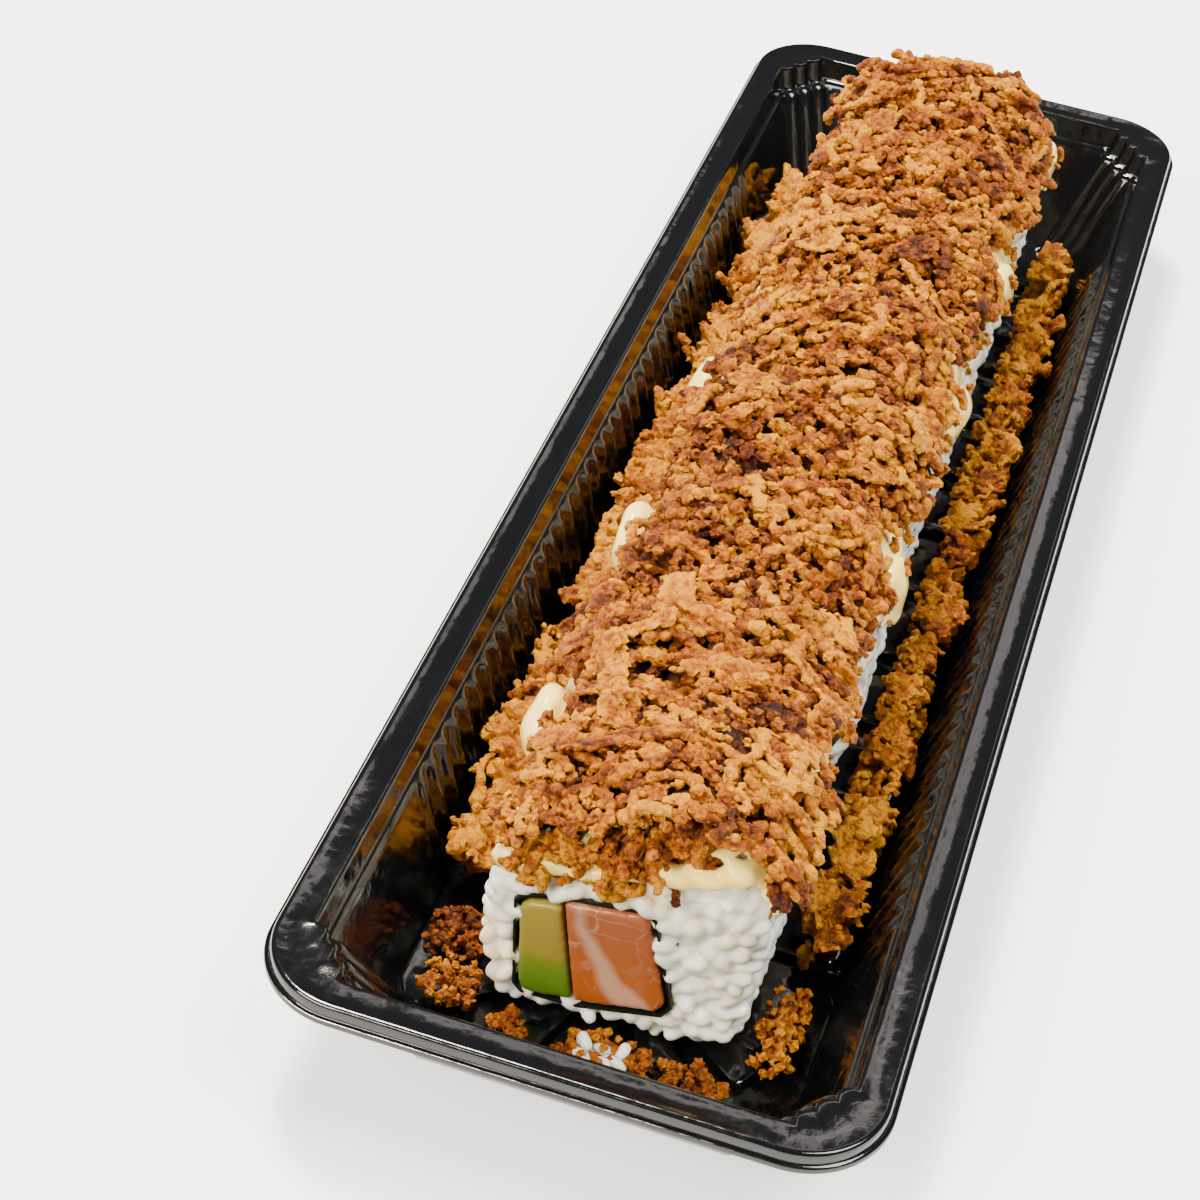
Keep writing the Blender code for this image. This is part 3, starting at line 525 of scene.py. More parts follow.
def scatter_tree():
    """Grains over a core: even spacing, any turn in the surface, a little tilt, a tone for each."""
    tree = bpy.data.node_groups.new("Pressed grains", "GeometryNodeTree")
    sockets = {}
    for name, kind in (
        ("Core", "NodeSocketGeometry"), ("Grain", "NodeSocketObject"), ("Spacing", "NodeSocketFloat"),
        ("Seed", "NodeSocketInt"), ("Finish", "NodeSocketMaterial"),
    ):
        sockets[name] = tree.interface.new_socket(name, in_out="INPUT", socket_type=kind).identifier
    tree.interface.new_socket("Rice", in_out="OUTPUT", socket_type="NodeSocketGeometry")
    start = add(tree, "NodeGroupInput")
    seed = {"Seed": start.outputs["Seed"]}
    shown = add(tree, "GeometryNodeInputNamedAttribute", {"Name": "cover"}, data_type="FLOAT")
    points = add(
        tree, "GeometryNodeDistributePointsOnFaces", {"Density Max": 900000.0},
        {
            "Mesh": start.outputs["Core"], "Distance Min": start.outputs["Spacing"],
            "Density Factor": shown.outputs[0], **seed,
        },
        distribute_method="POISSON",
    )
    spin = add(
        tree, "FunctionNodeRandomValue", {0: (-1.0, -1.0, 0.0), 1: (1.0, 1.0, 6.283)}, seed,
        data_type="FLOAT_VECTOR",
    )
    turn = add(tree, "FunctionNodeEulerToRotation", links={0: spin.outputs[0]})
    lie = add(
        tree, "FunctionNodeRotateRotation", links={0: points.outputs["Rotation"], 1: turn.outputs[0]},
        rotation_space="LOCAL",
    )
    size = add(
        tree, "FunctionNodeRandomValue", {0: (0.7, 0.82, 0.82), 1: (1.12, 1.12, 1.12)}, seed,
        data_type="FLOAT_VECTOR",
    )
    grain = add(tree, "GeometryNodeObjectInfo", links={"Object": start.outputs["Grain"]})
    grains = add(tree, "GeometryNodeInstanceOnPoints", links={
        "Points": points.outputs["Points"], "Instance": grain.outputs["Geometry"],
        "Rotation": lie.outputs[0], "Scale": size.outputs[0],
    })
    tone = add(tree, "FunctionNodeRandomValue", {2: 0.15, 3: 1.0}, seed, data_type="FLOAT")
    toned = add(
        tree, "GeometryNodeStoreNamedAttribute", {"Name": "tone"},
        {"Geometry": grains.outputs[0], "Value": tone.outputs[1]}, data_type="FLOAT", domain="INSTANCE",
    )
    joined = add(tree, "GeometryNodeJoinGeometry")
    tree.links.new(start.outputs["Core"], joined.inputs[0])
    tree.links.new(toned.outputs[0], joined.inputs[0])
    real = add(tree, "GeometryNodeRealizeInstances", links={"Geometry": joined.outputs[0]})
    dressed = add(
        tree, "GeometryNodeSetMaterial",
        links={"Geometry": real.outputs[0], "Material": start.outputs["Finish"]},
    )
    add(tree, "NodeGroupOutput", links={0: dressed.outputs[0]})
    return tree, sockets


def show_where(mesh, index):
    """Writes 1 where grains are seen on a slice: its sides, the roll's two ends, the gaps' edges."""
    place = coordinates(mesh) / MM
    facing = normals(mesh)
    angle = np.degrees(np.arctan2(place[:, 2] - AXIS_Z, place[:, 0]))
    side = ((angle < 56.0) & (angle > -90.0)) | (angle > 122.0) | (angle < -90.0)
    off_floor = place[:, 2] > 3.6
    cut_face = np.abs(facing[:, 1]) > 0.6
    edge = (np.abs(place[:, 0]) > 15.0) | (place[:, 2] > 29.0)
    shown = (side & off_floor & ~cut_face) | (cut_face & edge)
    if index == 0:
        shown |= (facing[:, 1] < -0.6) | ((place[:, 1] < FRONT_Y + 5.0) & (facing[:, 2] > 0.3))
    if index == SLICES - 1:
        shown |= (facing[:, 1] > 0.6)
    shown &= ~((towards_filling(place, facing) < -0.5) & (np.abs(facing[:, 1]) < 0.6))
    store(mesh, "cover", shown)


def blend(tree, factor, under, over):
    """Colour of a socket mixed with a hex colour by a factor."""
    made = add(tree, "ShaderNodeMix", {"B": colour(over)}, {"Factor": factor, "A": under}, data_type="RGBA")
    return made.outputs["Result"]


def between(tree, source, low, high, end=1.0):
    """Rises from 0 at one value of the source to the end value at another."""
    return add(tree, "ShaderNodeMapRange", {1: low, 2: high, 4: end}, {0: source}).outputs[0]


# Cooked rice is moist and lets light in; grains differ a little, and oil has soaked in here and there
cooked_rice, tree, shader, place = finish_of(
    "cooked_rice_pressed", Roughness=0.25, IOR=1.42, Subsurface_Weight=1.0, Subsurface_Scale=0.0016,
)
shader.inputs["Subsurface Radius"].default_value = (1.0, 0.95, 0.8)
tone = add(tree, "ShaderNodeAttribute", attribute_name="tone").outputs["Fac"]
starch = noise_at(tree, place, 420.0, 3.0)
uneven = calc(tree, "MULTIPLY_ADD", starch, 0.45, tone)
grain_tone = ramp(tree, uneven, [(0.2, "#E4E3DC"), (0.6, "#F6F1E4"), (1.0, "#FFFBEC")])
oily = between(tree, noise_at(tree, place, 110.0, 2.0), 0.46, 0.72, 0.7)
tree.links.new(blend(tree, oily, grain_tone, "#F6DDA6"), shader.inputs["Base Color"])
bumped(tree, shader, starch, 0.25, 0.0003)

grain = new_object("grain", grain_mesh())
pressed, rice_sockets = scatter_tree()
rice_cores = []
for index in range(SLICES):
    node = "rice_%d" % (index + 1)
    rice_slice = new_object("rice_slice_%d" % (index + 1), copy_of([node], node + "_core"))
    softened(rice_slice, CORE_VOXEL, 3)
    place = coordinates(rice_slice.data)
    facing = normals(rice_slice.data)
    bore = (towards_filling(place / MM, facing) < -0.5) & (np.abs(facing[:, 1]) < 0.7)
    sink = np.where(bore, BORE_SINK, RICE_SINK)
    sink[(facing[:, 2] > 0.3) & (place[:, 2] > TOP_Z * MM)] = TOP_SINK
    moved(rice_slice.data, place - facing * sink[:, None] * MM)
    show_where(rice_slice.data, index)
    rice_cores.append(rice_slice.data.copy())
    spread = rice_slice.modifiers.new("grains", "NODES")
    spread.node_group = pressed
    spread[rice_sockets["Grain"]] = grain
    spread[rice_sockets["Spacing"]] = GRAIN_SPACING * MM
    spread[rice_sockets["Seed"]] = 11 + index
    spread[rice_sockets["Finish"]] = cooked_rice
    rice_slice.data = evaluated(rice_slice)
    tones = np.zeros(len(rice_slice.data.vertices), np.float32)
    rice_slice.data.attributes["tone"].data.foreach_get("value", tones)
    nearest = KDTree(len(tones))
    for i, v in enumerate(rice_slice.data.vertices):
        nearest.insert(v.co, i)
    nearest.balance()
    softened(rice_slice, FRONT_VOXEL if index == 0 else HIDDEN_VOXEL, 0)
    store(rice_slice.data, "tone", [tones[nearest.find(v.co)[1]] for v in rice_slice.data.vertices])
    coat(rice_slice.data, cooked_rice)
    rice_slice.data.shade_smooth()
    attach(rice_slice, "root")
    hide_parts(node)
bpy.data.objects.remove(grain)


# Seaweed
# A sheet of pressed, roasted seaweed wrapped round the filling of each slice, inside the rice.
# It is almost black, with a faint green where the fibres catch the light.
nori, tree, shader, place = finish_of("roasted_seaweed_sheet", Roughness=0.42, IOR=1.45)
fibre = noise_at(tree, place, 700.0, 6.0, distortion=1.5)
sheet_tone = ramp(tree, fibre, [(0.3, "#070A07"), (0.6, "#10170F"), (0.8, "#1E2A17")])
tree.links.new(sheet_tone, shader.inputs["Base Color"])
bumped(tree, shader, fibre, 0.6, 0.0002)
for index in range(SLICES):
    node = "nori_%d" % (index + 1)
    wrap = new_object("nori_wrap_%d" % (index + 1), copy_of([node], node))
    wrap.data.shade_smooth()
    wrap.data.set_sharp_from_angle(angle=math.radians(40))
    wrap.data.materials.append(nori)
    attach(wrap, "root")
    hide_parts(node)


# Avocado
# A bar of ripe avocado lying the length of each slice: cream yellow towards the stone, green under
# the skin. The knife leaves it smooth, with soft edges.
avocado, tree, shader, place = finish_of(
    "ripe_avocado_cut", Roughness=0.34, IOR=1.42, Subsurface_Weight=0.2, Subsurface_Scale=0.0015,
)
shader.inputs["Subsurface Radius"].default_value = (0.8, 1.0, 0.3)
split = add(tree, "ShaderNodeSeparateXYZ", links={"Vector": place})
mottle = noise_at(tree, place, 260.0, 4.0)
level = between(tree, split.outputs["Z"], 0.0068, 0.0244)
flesh = ramp(tree, calc(tree, "MULTIPLY_ADD", mottle, 0.14, level), [
    (0.05, "#466A12"), (0.36, "#5B7A1E"), (0.50, "#768026"), (0.56, "#8E812F"), (1.0, "#968638"),
])
skin_side = between(tree, split.outputs["X"], -0.0128, -0.0142)
tree.links.new(blend(tree, skin_side, flesh, "#4C8420"), shader.inputs["Base Color"])
bumped(tree, shader, mottle, 0.25, 0.0003)


def bar_of_filling(kind, index, finish):
    """Softened bar of one filling; its cut ends swell a little out of the seaweed."""
    node = "%s_%d" % (kind, index + 1)
    at_end = index in (0, SLICES - 1)
    bar = new_object("%s_bar_%d" % (kind, index + 1), copy_of([node], node))
    softened(bar, 0.4 if at_end else 1.0, 4)
    place = coordinates(bar.data) / MM
    low, high = place.min(axis=0), place.max(axis=0)
    reach = (place - 0.5 * (low + high)) / (0.5 * (high - low))
    dome = np.clip(1.0 - reach[:, 0] ** 2, 0, 1) * np.clip(1.0 - reach[:, 2] ** 2, 0, 1)
    place += normals(bar.data) * np.array([0.22, 0.0, 0.22])
    if at_end:
        place[:, 1] += (0.45 + 0.4 * dome) * np.clip(reach[:, 1], -1, 1) ** 5
    moved(bar.data, place * MM)
    coat(bar.data, finish)
    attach(bar, "root")
    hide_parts(node)


for index in range(SLICES):
    bar_of_filling("avocado", index, avocado)


# Salmon
# A bar of raw salmon beside the avocado: orange muscle parted by thin white lines of fat, and one
# broad pale band that runs from the upper left of the cut to the lower right.
salmon, tree, shader, place = finish_of(
    "raw_salmon_cut", Roughness=0.24, IOR=1.4, Subsurface_Weight=0.3, Subsurface_Scale=0.0025,
)
shader.inputs["Subsurface Radius"].default_value = (1.0, 0.45, 0.25)
split = add(tree, "ShaderNodeSeparateXYZ", links={"Vector": place})
cloud = add(tree, "ShaderNodeTexNoise", {"Scale": 120.0, "Detail": 3.0}, {"Vector": place})
fall = calc(tree, "POWER", between(tree, split.outputs["Z"], 0.0265, 0.0078), 1.5)
middle = calc(tree, "MULTIPLY_ADD", fall, 0.0105, -0.0048)
beside = calc(tree, "SUBTRACT", split.outputs["X"], middle)
wander = calc(tree, "MULTIPLY_ADD", cloud.outputs["Fac"], 0.004, -0.002)
apart = calc(tree, "ABSOLUTE", calc(tree, "ADD", beside, wander))
width = calc(tree, "MULTIPLY_ADD", fall, 0.0028, 0.0008)
band = between(tree, calc(tree, "SUBTRACT", width, apart), -0.0006, 0.0011, 0.9)
warp = add(
    tree, "ShaderNodeMix", {"Factor": 0.012}, {"A": place, "B": cloud.outputs["Color"]}, data_type="RGBA",
)
lines = add(
    tree, "ShaderNodeTexVoronoi", {"Scale": 190.0, "Randomness": 1.0}, {"Vector": warp.outputs["Result"]},
    feature="DISTANCE_TO_EDGE", voronoi_dimensions="3D",
)
line = between(tree, lines.outputs["Distance"], 0.05, 0.0, 0.6)
shown = between(tree, noise_at(tree, place, 170.0, 2.0), 0.42, 0.6)
fat = calc(tree, "MAXIMUM", band, calc(tree, "MULTIPLY", line, shown))
level = between(tree, split.outputs["Z"], 0.006, 0.026)
muscle = ramp(tree, level, [(0.0, "#9E4F12"), (0.45, "#A25621"), (1.0, "#A05C3D")])
tree.links.new(blend(tree, fat, muscle, "#BE957B"), shader.inputs["Base Color"])
bumped(tree, shader, fat, 0.3, 0.0003)
for index in range(SLICES):
    bar_of_filling("salmon", index, salmon)


# Mayonnaise
# A thick cream-coloured layer squeezed along the top of the roll. It holds the onion, shows as a rim
# along the front edge, and runs down the sides in a few places.
MAYO_RIGHT = (-88.0, -35.0, 15.5, 56.0, 103.0)
MAYO_LEFT = (-84.0, -39.0, 4.0)
MAYO_DOLLOPS = (
    (-15.2, -111.9, 31.2, 3.4, 1.3, 2.2), (-10.5, -112.1, 33.0, 2.6, 0.9, 1.0),
    (6.5, -112.3, 37.6, 3.6, 1.2, 1.6), (11.0, -112.4, 39.3, 3.4, 1.3, 1.7),
    (15.0, -112.0, 40.4, 2.6, 1.3, 1.6),
    (19.8, -87.0, 35.0, 2.4, 5.0, 4.5), (20.4, -35.0, 32.0, 2.3, 5.5, 5.0),
    (20.3, 15.5, 32.0, 2.3, 4.5, 4.5), (20.3, 56.0, 32.0, 2.3, 4.5, 4.5),
    (20.0, 103.0, 32.0, 2.3, 4.0, 4.5),
    (-20.2, -84.0, 31.0, 2.6, 6.5, 5.0), (-20.6, -39.0, 31.5, 2.4, 6.5, 5.0),
    (-20.6, 4.0, 31.5, 2.4, 6.5, 5.0),
)
SKY = 70.0
mayonnaise, tree, shader, place = finish_of(
    "mayonnaise_egg", Roughness=0.22, IOR=1.45, Subsurface_Weight=0.35, Subsurface_Scale=0.002,
)
shader.inputs["Subsurface Radius"].default_value = (1.0, 0.85, 0.45)
swirl = noise_at(tree, place, 180.0, 2.0)
cream = ramp(tree, swirl, [(0.3, "#E8C55C"), (0.55, "#EFD47E"), (0.8, "#F5E3A8")])
tree.links.new(cream, shader.inputs["Base Color"])
bumped(tree, shader, swirl, 0.3, 0.0006)


def tree_of(meshes):
    """Search tree of some meshes in millimetres, for ray casts."""
    verts = []
    polys = []
    for mesh in meshes:
        base = len(verts)
        verts.extend(v.co / MM for v in mesh.vertices)
        polys.extend([base + i for i in p.vertices] for p in mesh.polygons)
    return BVHTree.FromPolygons(verts, polys)


def top_at(tree, x, y, start=SKY):
    """Height of the first surface under a start height, or None where there is none."""
    hit = tree.ray_cast(Vector((x, y, start)), Vector((0, 0, -1)))
    return start - hit[3] if hit[0] is not None else None


# Dollops along the front edge lie on the rice of the first slice, as (x, y, z) and three radii
front_top = tree_of(rice_cores[:1])
edge_dollops = []
for x in np.arange(-15.0, 13.0, 2.4):
    rice_top = top_at(front_top, x, FRONT_Y + 2.4)
    if rice_top is not None:
        edge_dollops.append((x, FRONT_Y + 2.6, rice_top + 1.5, 2.4, 3.2, 1.1))
bm = bmesh.new()
bm.from_mesh(copy_of(["mayonnaise"], "spread"))
for x, y, z, rx, ry, rz in MAYO_DOLLOPS + tuple(edge_dollops):
    shape = Matrix.Translation(Vector((x, y, z)) * MM) @ Matrix.Diagonal(Vector((rx, ry, rz, 1.0 / MM)) * MM)
    bmesh.ops.create_icosphere(bm, subdivisions=3, radius=1.0, matrix=shape)
spread_mesh = bpy.data.meshes.new("mayonnaise_layer")
bm.to_mesh(spread_mesh)
bm.free()
layer = softened(new_object("mayonnaise_layer", spread_mesh), 0.68, 3)
place = coordinates(layer.data)
swell = np.array([noise.noise(Vector(p) * 260.0) for p in place])
moved(layer.data, place + normals(layer.data) * ((0.3 + swell * 0.5) * MM)[:, None])
coat(layer.data, mayonnaise)
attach(layer, "root")
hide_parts("mayonnaise")


# Fried onion
# Shreds, flakes and crumbs of onion fried crisp in a thin batter: knobbly, curled and full of gaps,
# from pale gold to dark brown. They stick to the mayonnaise in a thick uneven crust.
CLUSTER_FACES = 560
SHRED_FACES = 260
FLAKE_FACES = 520
CRUMB_FACES = 70
FLAKE_PITCH = 0.75
ROLL_RADIUS = 25.0
CELL = 0.6
EDGE_RIGHT = 41.0
EDGE_LEFT = 139.0
DRAW_BACK = 15.0
RUN_WIDTH = 6.0
HUMP_START = FRONT_Y + 0.45 * PITCH
FRONT_ROWS = int(3.6 / CELL)
RAY = 60.0
ARC = (math.radians(34.0) * ROLL_RADIUS, math.radians(146.0) * ROLL_RADIUS)
ROLL_Y = (FRONT_Y - 0.6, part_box("rice_8")[1].y / MM + 0.3)
TOP_LIMIT = cad_high.z / MM - 0.3


def knobs_mesh(name, balls, voxel, faces, seed, rough=1.0):
    """Arrays of one fried piece: balls of batter run together, roughened, cut to a number of faces."""
    bm = bmesh.new()
    for x, y, z, r in balls:
        bmesh.ops.create_icosphere(bm, subdivisions=1, radius=r, matrix=Matrix.Translation((x, y, z)))
    mesh = bpy.data.meshes.new(name)
    bm.to_mesh(mesh)
    bm.free()
    ob = new_object(name, mesh)
    even = ob.modifiers.new("even", "REMESH")
    even.mode = "VOXEL"
    even.voxel_size = voxel
    ob.data = evaluated(ob)
    place = coordinates(ob.data)
    shift = np.array([
        0.34 * noise.noise(Vector(p) * 0.9 + Vector((seed, 0, 0))) + 0.42 * noise.noise(Vector(p) * 2.6)
        for p in place
    ])
    place += normals(ob.data) * shift[:, None] * rough
    ob.data.vertices.foreach_set("co", place.ravel())
    ob.data.update()
    fewer = ob.modifiers.new("fewer", "DECIMATE")
    fewer.ratio = min(1.0, faces / (2.0 * len(ob.data.polygons)))
    ob.data = evaluated(ob)
    bm = bmesh.new()
    bm.from_mesh(ob.data)
    bmesh.ops.triangulate(bm, faces=bm.faces)
    bm.normal_update()
    bm.verts.ensure_lookup_table()
    points = np.array([v.co for v in bm.verts])
    triangles = np.array([[v.index for v in f.verts] for f in bm.faces])
    # How far each point stands out; the onion finish paints knobs lighter and folds darker from it, as painted
    # highlight and painted shade
    crest = []
    for v in bm.verts:
        around = sum(((e.other_vert(v).co - v.co) for e in v.link_edges), Vector()) / max(1, len(v.link_edges))
        crest.append(max(-1.0, min(1.0, -around.dot(v.normal) * 2.5)))
    bm.free()
    bpy.data.objects.remove(ob)
    points -= points.mean(axis=0)
    return points, triangles, np.array(crest)


def shred(seed):
    """Curled shred, 5 to 9 mm long, often with a side branch."""
    rng = random.Random(seed)
    balls = []
    at = Vector((0.0, 0.0, 0.0))
    way = rng.uniform(0.0, 6.28)
    curl = rng.uniform(-0.35, 0.35)
    for k in range(rng.choice((5, 6, 7, 8))):
        radius = rng.uniform(0.62, 1.05)
        balls.append((at.x, at.y, at.z, radius))
        if rng.random() < 0.25:
            off = rng.choice((-1, 1)) * rng.uniform(0.9, 1.4)
            branch = (at.x - math.sin(way) * off, at.y + math.cos(way) * off)
            balls.append((*branch, at.z + rng.uniform(-0.4, 0.5), 0.65))
        way += curl + rng.uniform(-0.55, 0.55)
        at = at + Vector((math.cos(way), math.sin(way), rng.uniform(-0.35, 0.4)))
    return knobs_mesh("shred", balls, 0.24, SHRED_FACES, seed, 0.6)


def flake(seed, length, width):
    """Thin curled flake with a ragged edge and a few holes."""
    rng = random.Random(seed)
    balls = []
    curl = rng.uniform(0.03, 0.12)
    twist = rng.uniform(-0.08, 0.08)
    for i in range(int(length / FLAKE_PITCH) + 1):
        for j in range(int(width / FLAKE_PITCH) + 1):
            x = i * FLAKE_PITCH - 0.5 * length + rng.uniform(-0.15, 0.15)
            y = j * FLAKE_PITCH - 0.5 * width + rng.uniform(-0.15, 0.15)
            inside = (2 * x / length) ** 4 + (2 * y / width) ** 4
            if inside + 0.7 * noise.noise(Vector((x * 0.5, y * 0.5, seed))) > 1.05:
                continue
            z = curl * x * x + twist * x * y + 1.1 * noise.noise(Vector((x * 0.45, y * 0.8, seed + 5.0)))
            balls.append((x, y, z, rng.uniform(0.5, 0.66)))
    return knobs_mesh("flake", balls, 0.26, FLAKE_FACES, seed, 0.6)


def cluster(seed, count, reach):
    """Lump of batter with knobs and branches on all sides, and gaps between them."""
    rng = random.Random(seed)
    balls = [(0.0, 0.0, 0.0, 0.9)]
    while len(balls) < count:
        x, y, z, _ = rng.choice(balls[-5:] if rng.random() < 0.65 else balls)
        way = rng.uniform(0, 6.283)
        rise = rng.uniform(-0.8, 0.8)
        step = rng.uniform(0.8, 1.25)
        x += step * math.cos(way) * math.cos(rise)
        y += step * math.sin(way) * math.cos(rise) * 0.85
        z += step * math.sin(rise)
        if math.hypot(x, y) < reach and abs(z) < 1.5:
            balls.append((x, y, z, rng.choice((0.45, 0.6, 0.85, 1.05))))
    return knobs_mesh("cluster", balls, 0.23, CLUSTER_FACES, seed, 0.8)


def crumb(seed):
    """Crumb of batter, 1.5 to 3 mm."""
    rng = random.Random(seed)
    balls = [
        (rng.uniform(-0.5, 0.5), rng.uniform(-0.4, 0.4), rng.uniform(-0.2, 0.2), rng.uniform(0.5, 0.8))
        for _ in range(3)
    ]
    return knobs_mesh("crumb", balls, 0.2, CRUMB_FACES, seed)


def turned(points, rng, tilt):
    """Points of a piece laid flat, with a random turn and a random tilt."""
    turn = Matrix.Rotation(rng.uniform(-tilt, tilt), 3, "X") @ Matrix.Rotation(rng.uniform(-tilt, tilt), 3, "Y")
    turn = turn @ Matrix.Rotation(rng.uniform(0, 6.283), 3, "Z")
    return points @ np.array(turn).T


class Pile:
    """Height map that pieces are dropped on, over the bare ground it started from."""

    def __init__(self, low, high, ground):
        self.low = np.array(low, float)
        self.shape = np.ceil((np.array(high) - self.low) / CELL).astype(int) + 1
        u = self.low[0] + CELL * np.arange(self.shape[0])
        v = self.low[1] + CELL * np.arange(self.shape[1])
        self.height = np.array([[ground(a, b) for b in v] for a in u])
        self.ground = self.height.copy()

    def cells(self, u, v):
        i = np.clip(((u - self.low[0]) / CELL + 0.5).astype(int), 0, self.shape[0] - 1)
        j = np.clip(((v - self.low[1]) / CELL + 0.5).astype(int), 0, self.shape[1] - 1)
        return i, j

    def cell(self, u, v):
        i, j = self.cells(np.array([u]), np.array([v]))
        return int(i[0]), int(j[0])

    def drop(self, points, u, v, share):
        """Lowers a piece at a place until a share of its points is under the pile; returns its points."""
        i, j = self.cells(u + points[:, 0], v + points[:, 1])
        lower = points[:, 2] < np.median(points[:, 2])
        rest = np.quantile(self.height[i[lower], j[lower]] - points[lower, 2], share)
        return points + np.array([u, v, rest])

    def keep(self, placed):
        i, j = self.cells(placed[:, 0], placed[:, 1])
        np.maximum.at(self.height, (i, j), placed[:, 2])


def joined(name, parts, finish):
    """One object from the arrays of many pieces; each part is points, triangles, crest and fry. The crest
    paints knobs lighter and folds darker, as painted highlight and painted shade; the fry is each piece's
    browning, with painted shade added for sunk pieces and painted light for pieces in the channels.
    """
    points = np.concatenate([p[0] for p in parts]) * MM
    sizes = [len(p[0]) for p in parts]
    starts = np.concatenate([[0], np.cumsum(sizes)[:-1]])
    triangles = np.concatenate([p[1] + s for p, s in zip(parts, starts)])
    mesh = bpy.data.meshes.new(name)
    mesh.vertices.add(len(points))
    mesh.vertices.foreach_set("co", points.ravel())
    mesh.loops.add(3 * len(triangles))
    mesh.loops.foreach_set("vertex_index", triangles.ravel().astype(np.int32))
    mesh.polygons.add(len(triangles))
    mesh.polygons.foreach_set("loop_start", np.arange(0, 3 * len(triangles), 3, dtype=np.int32))
    mesh.update(calc_edges=True)
    mesh.validate()
    mesh.shade_smooth()
    mesh.set_sharp_from_angle(angle=math.radians(58))
    store(mesh, "crest", np.concatenate([p[2] for p in parts]))
    store(mesh, "fry", np.repeat([p[3] for p in parts], sizes))
    mesh.materials.append(finish)
    return new_object(name, mesh)


def browning(rng):
    """How far one piece is fried: most are golden, some pale, a few dark."""
    pick = rng.random()
    if pick < 0.08:
        return rng.uniform(0.4, 0.6)
    if pick < 0.34:
        return rng.uniform(-0.05, 0.12)
    return rng.uniform(0.12, 0.45)


# Batter fried in oil: dry and scattering; its knobs are painted lighter and its folds darker, as painted
# highlight and painted shade
fried_onion, tree, shader, place = finish_of(
    "onion_fried_in_batter", Roughness=0.5, IOR=1.4, Specular_IOR_Level=0.22,
)
fry = add(tree, "ShaderNodeAttribute", attribute_name="fry").outputs["Fac"]
crest = add(tree, "ShaderNodeAttribute", attribute_name="crest").outputs["Fac"]
grit = noise_at(tree, place, 900.0, 4.0, 0.6)
spots = calc(tree, "MULTIPLY_ADD", noise_at(tree, place, 330.0, 5.0, 0.6), 1.1, -0.8)
blotches = calc(tree, "MULTIPLY_ADD", noise_at(tree, place, 85.0, 2.0), 0.8, spots)
# Each piece's browning and noise, with the crest painting the knobs lighter and the folds darker: painted
# highlight and painted shade
browned_and_shaded = calc(tree, "MULTIPLY_ADD", crest, -0.38, calc(tree, "ADD", blotches, fry))
batter = ramp(tree, browned_and_shaded, [
    (0.0, "#BC7D0A"), (0.2, "#A36105"), (0.42, "#854405"), (0.62, "#602B07"), (0.82, "#3E1B0A"),
    (1.0, "#28120B"),
])
tree.links.new(batter, shader.inputs["Base Color"])
bumped(tree, shader, grit, 1.0, 0.0013)

clusters = [cluster(500 + k, *size) for k, size in enumerate((
    (20, 2.8), (26, 3.2), (30, 3.8), (34, 4.2), (28, 3.0), (24, 4.0), (38, 4.6),
))]
shreds = [shred(100 + k) for k in range(9)]
flakes = [flake(200 + k, *size) for k, size in enumerate((
    (12.5, 3.4), (10.0, 3.8), (7.0, 5.4), (6.5, 4.2), (13.5, 3.0),
))]
crumbs = [crumb(300 + k) for k in range(6)]


def hump(y):
    """1 in the middle of a slice, 0 between two slices; the front edge is full."""
    if y < HUMP_START:
        return 1.0
    return 0.5 + 0.5 * math.cos(2 * math.pi * (y - FRONT_Y - 0.45 * PITCH) / PITCH)


def outside(degrees, y):
    """Degrees beyond the onion's edge; the edge draws back between slices and where mayonnaise shows."""
    right = degrees < 90.0
    runs = sum(math.exp(-((y - c) / RUN_WIDTH) ** 2) for c in (MAYO_RIGHT if right else MAYO_LEFT))
    back = min(1.0, 0.45 * (1.0 - hump(y)) ** 1.5 + runs)
    if right:
        return EDGE_RIGHT + DRAW_BACK * back - degrees
    return degrees - EDGE_LEFT + DRAW_BACK * back


def bed_of(node, name, voxel, rounds, sink, grade, edged=False):
    """Low bumpy bed under loose pieces, made from the frame's own heap."""
    bed = softened(new_object(name, copy_of([node], name)), voxel, rounds)
    place = coordinates(bed.data)
    rough = np.array([noise.noise(Vector(p) * 330.0) + 0.6 * noise.noise(Vector(p) * 800.0) for p in place])
    place += normals(bed.data) * ((rough * 0.9 - sink) * MM)[:, None]
    if edged:
        degrees = np.degrees(np.arctan2(place[:, 2] / MM - AXIS_Z, place[:, 0] / MM))
        over = np.array([outside(a, y) for a, y in zip(degrees, place[:, 1] / MM)])
        turn = np.radians(degrees)
        inwards = np.clip(over / 5.0 + 0.6, 0.0, 1.0) * 3.6 * MM
        place[:, 0] -= np.cos(turn) * inwards
        place[:, 2] -= np.sin(turn) * inwards
    moved(bed.data, place)
    coat(bed.data, fried_onion)
    store(bed.data, "fry", np.full(len(place), grade))
    # The raised bumps of the bed are painted lighter and its dips darker, as painted highlight and painted
    # shade
    store(bed.data, "crest", rough - 0.3)
    return bed


def on_roll(points):
    """Bends points from the unrolled top (arc, length, radius) round the roll."""
    angle = points[:, 0] / ROLL_RADIUS
    return np.column_stack([
        points[:, 2] * np.cos(angle), points[:, 1], AXIS_Z + points[:, 2] * np.sin(angle),
    ])


def radius_at(tree, arc, y):
    """Distance of the outermost surface from the roll's axis, or None where there is none."""
    angle = arc / ROLL_RADIUS
    way = Vector((math.cos(angle), 0.0, math.sin(angle)))
    hit = tree.ray_cast(Vector((0.0, y, AXIS_Z)) + way * RAY, -way)
    return RAY - hit[3] if hit[0] is not None else None


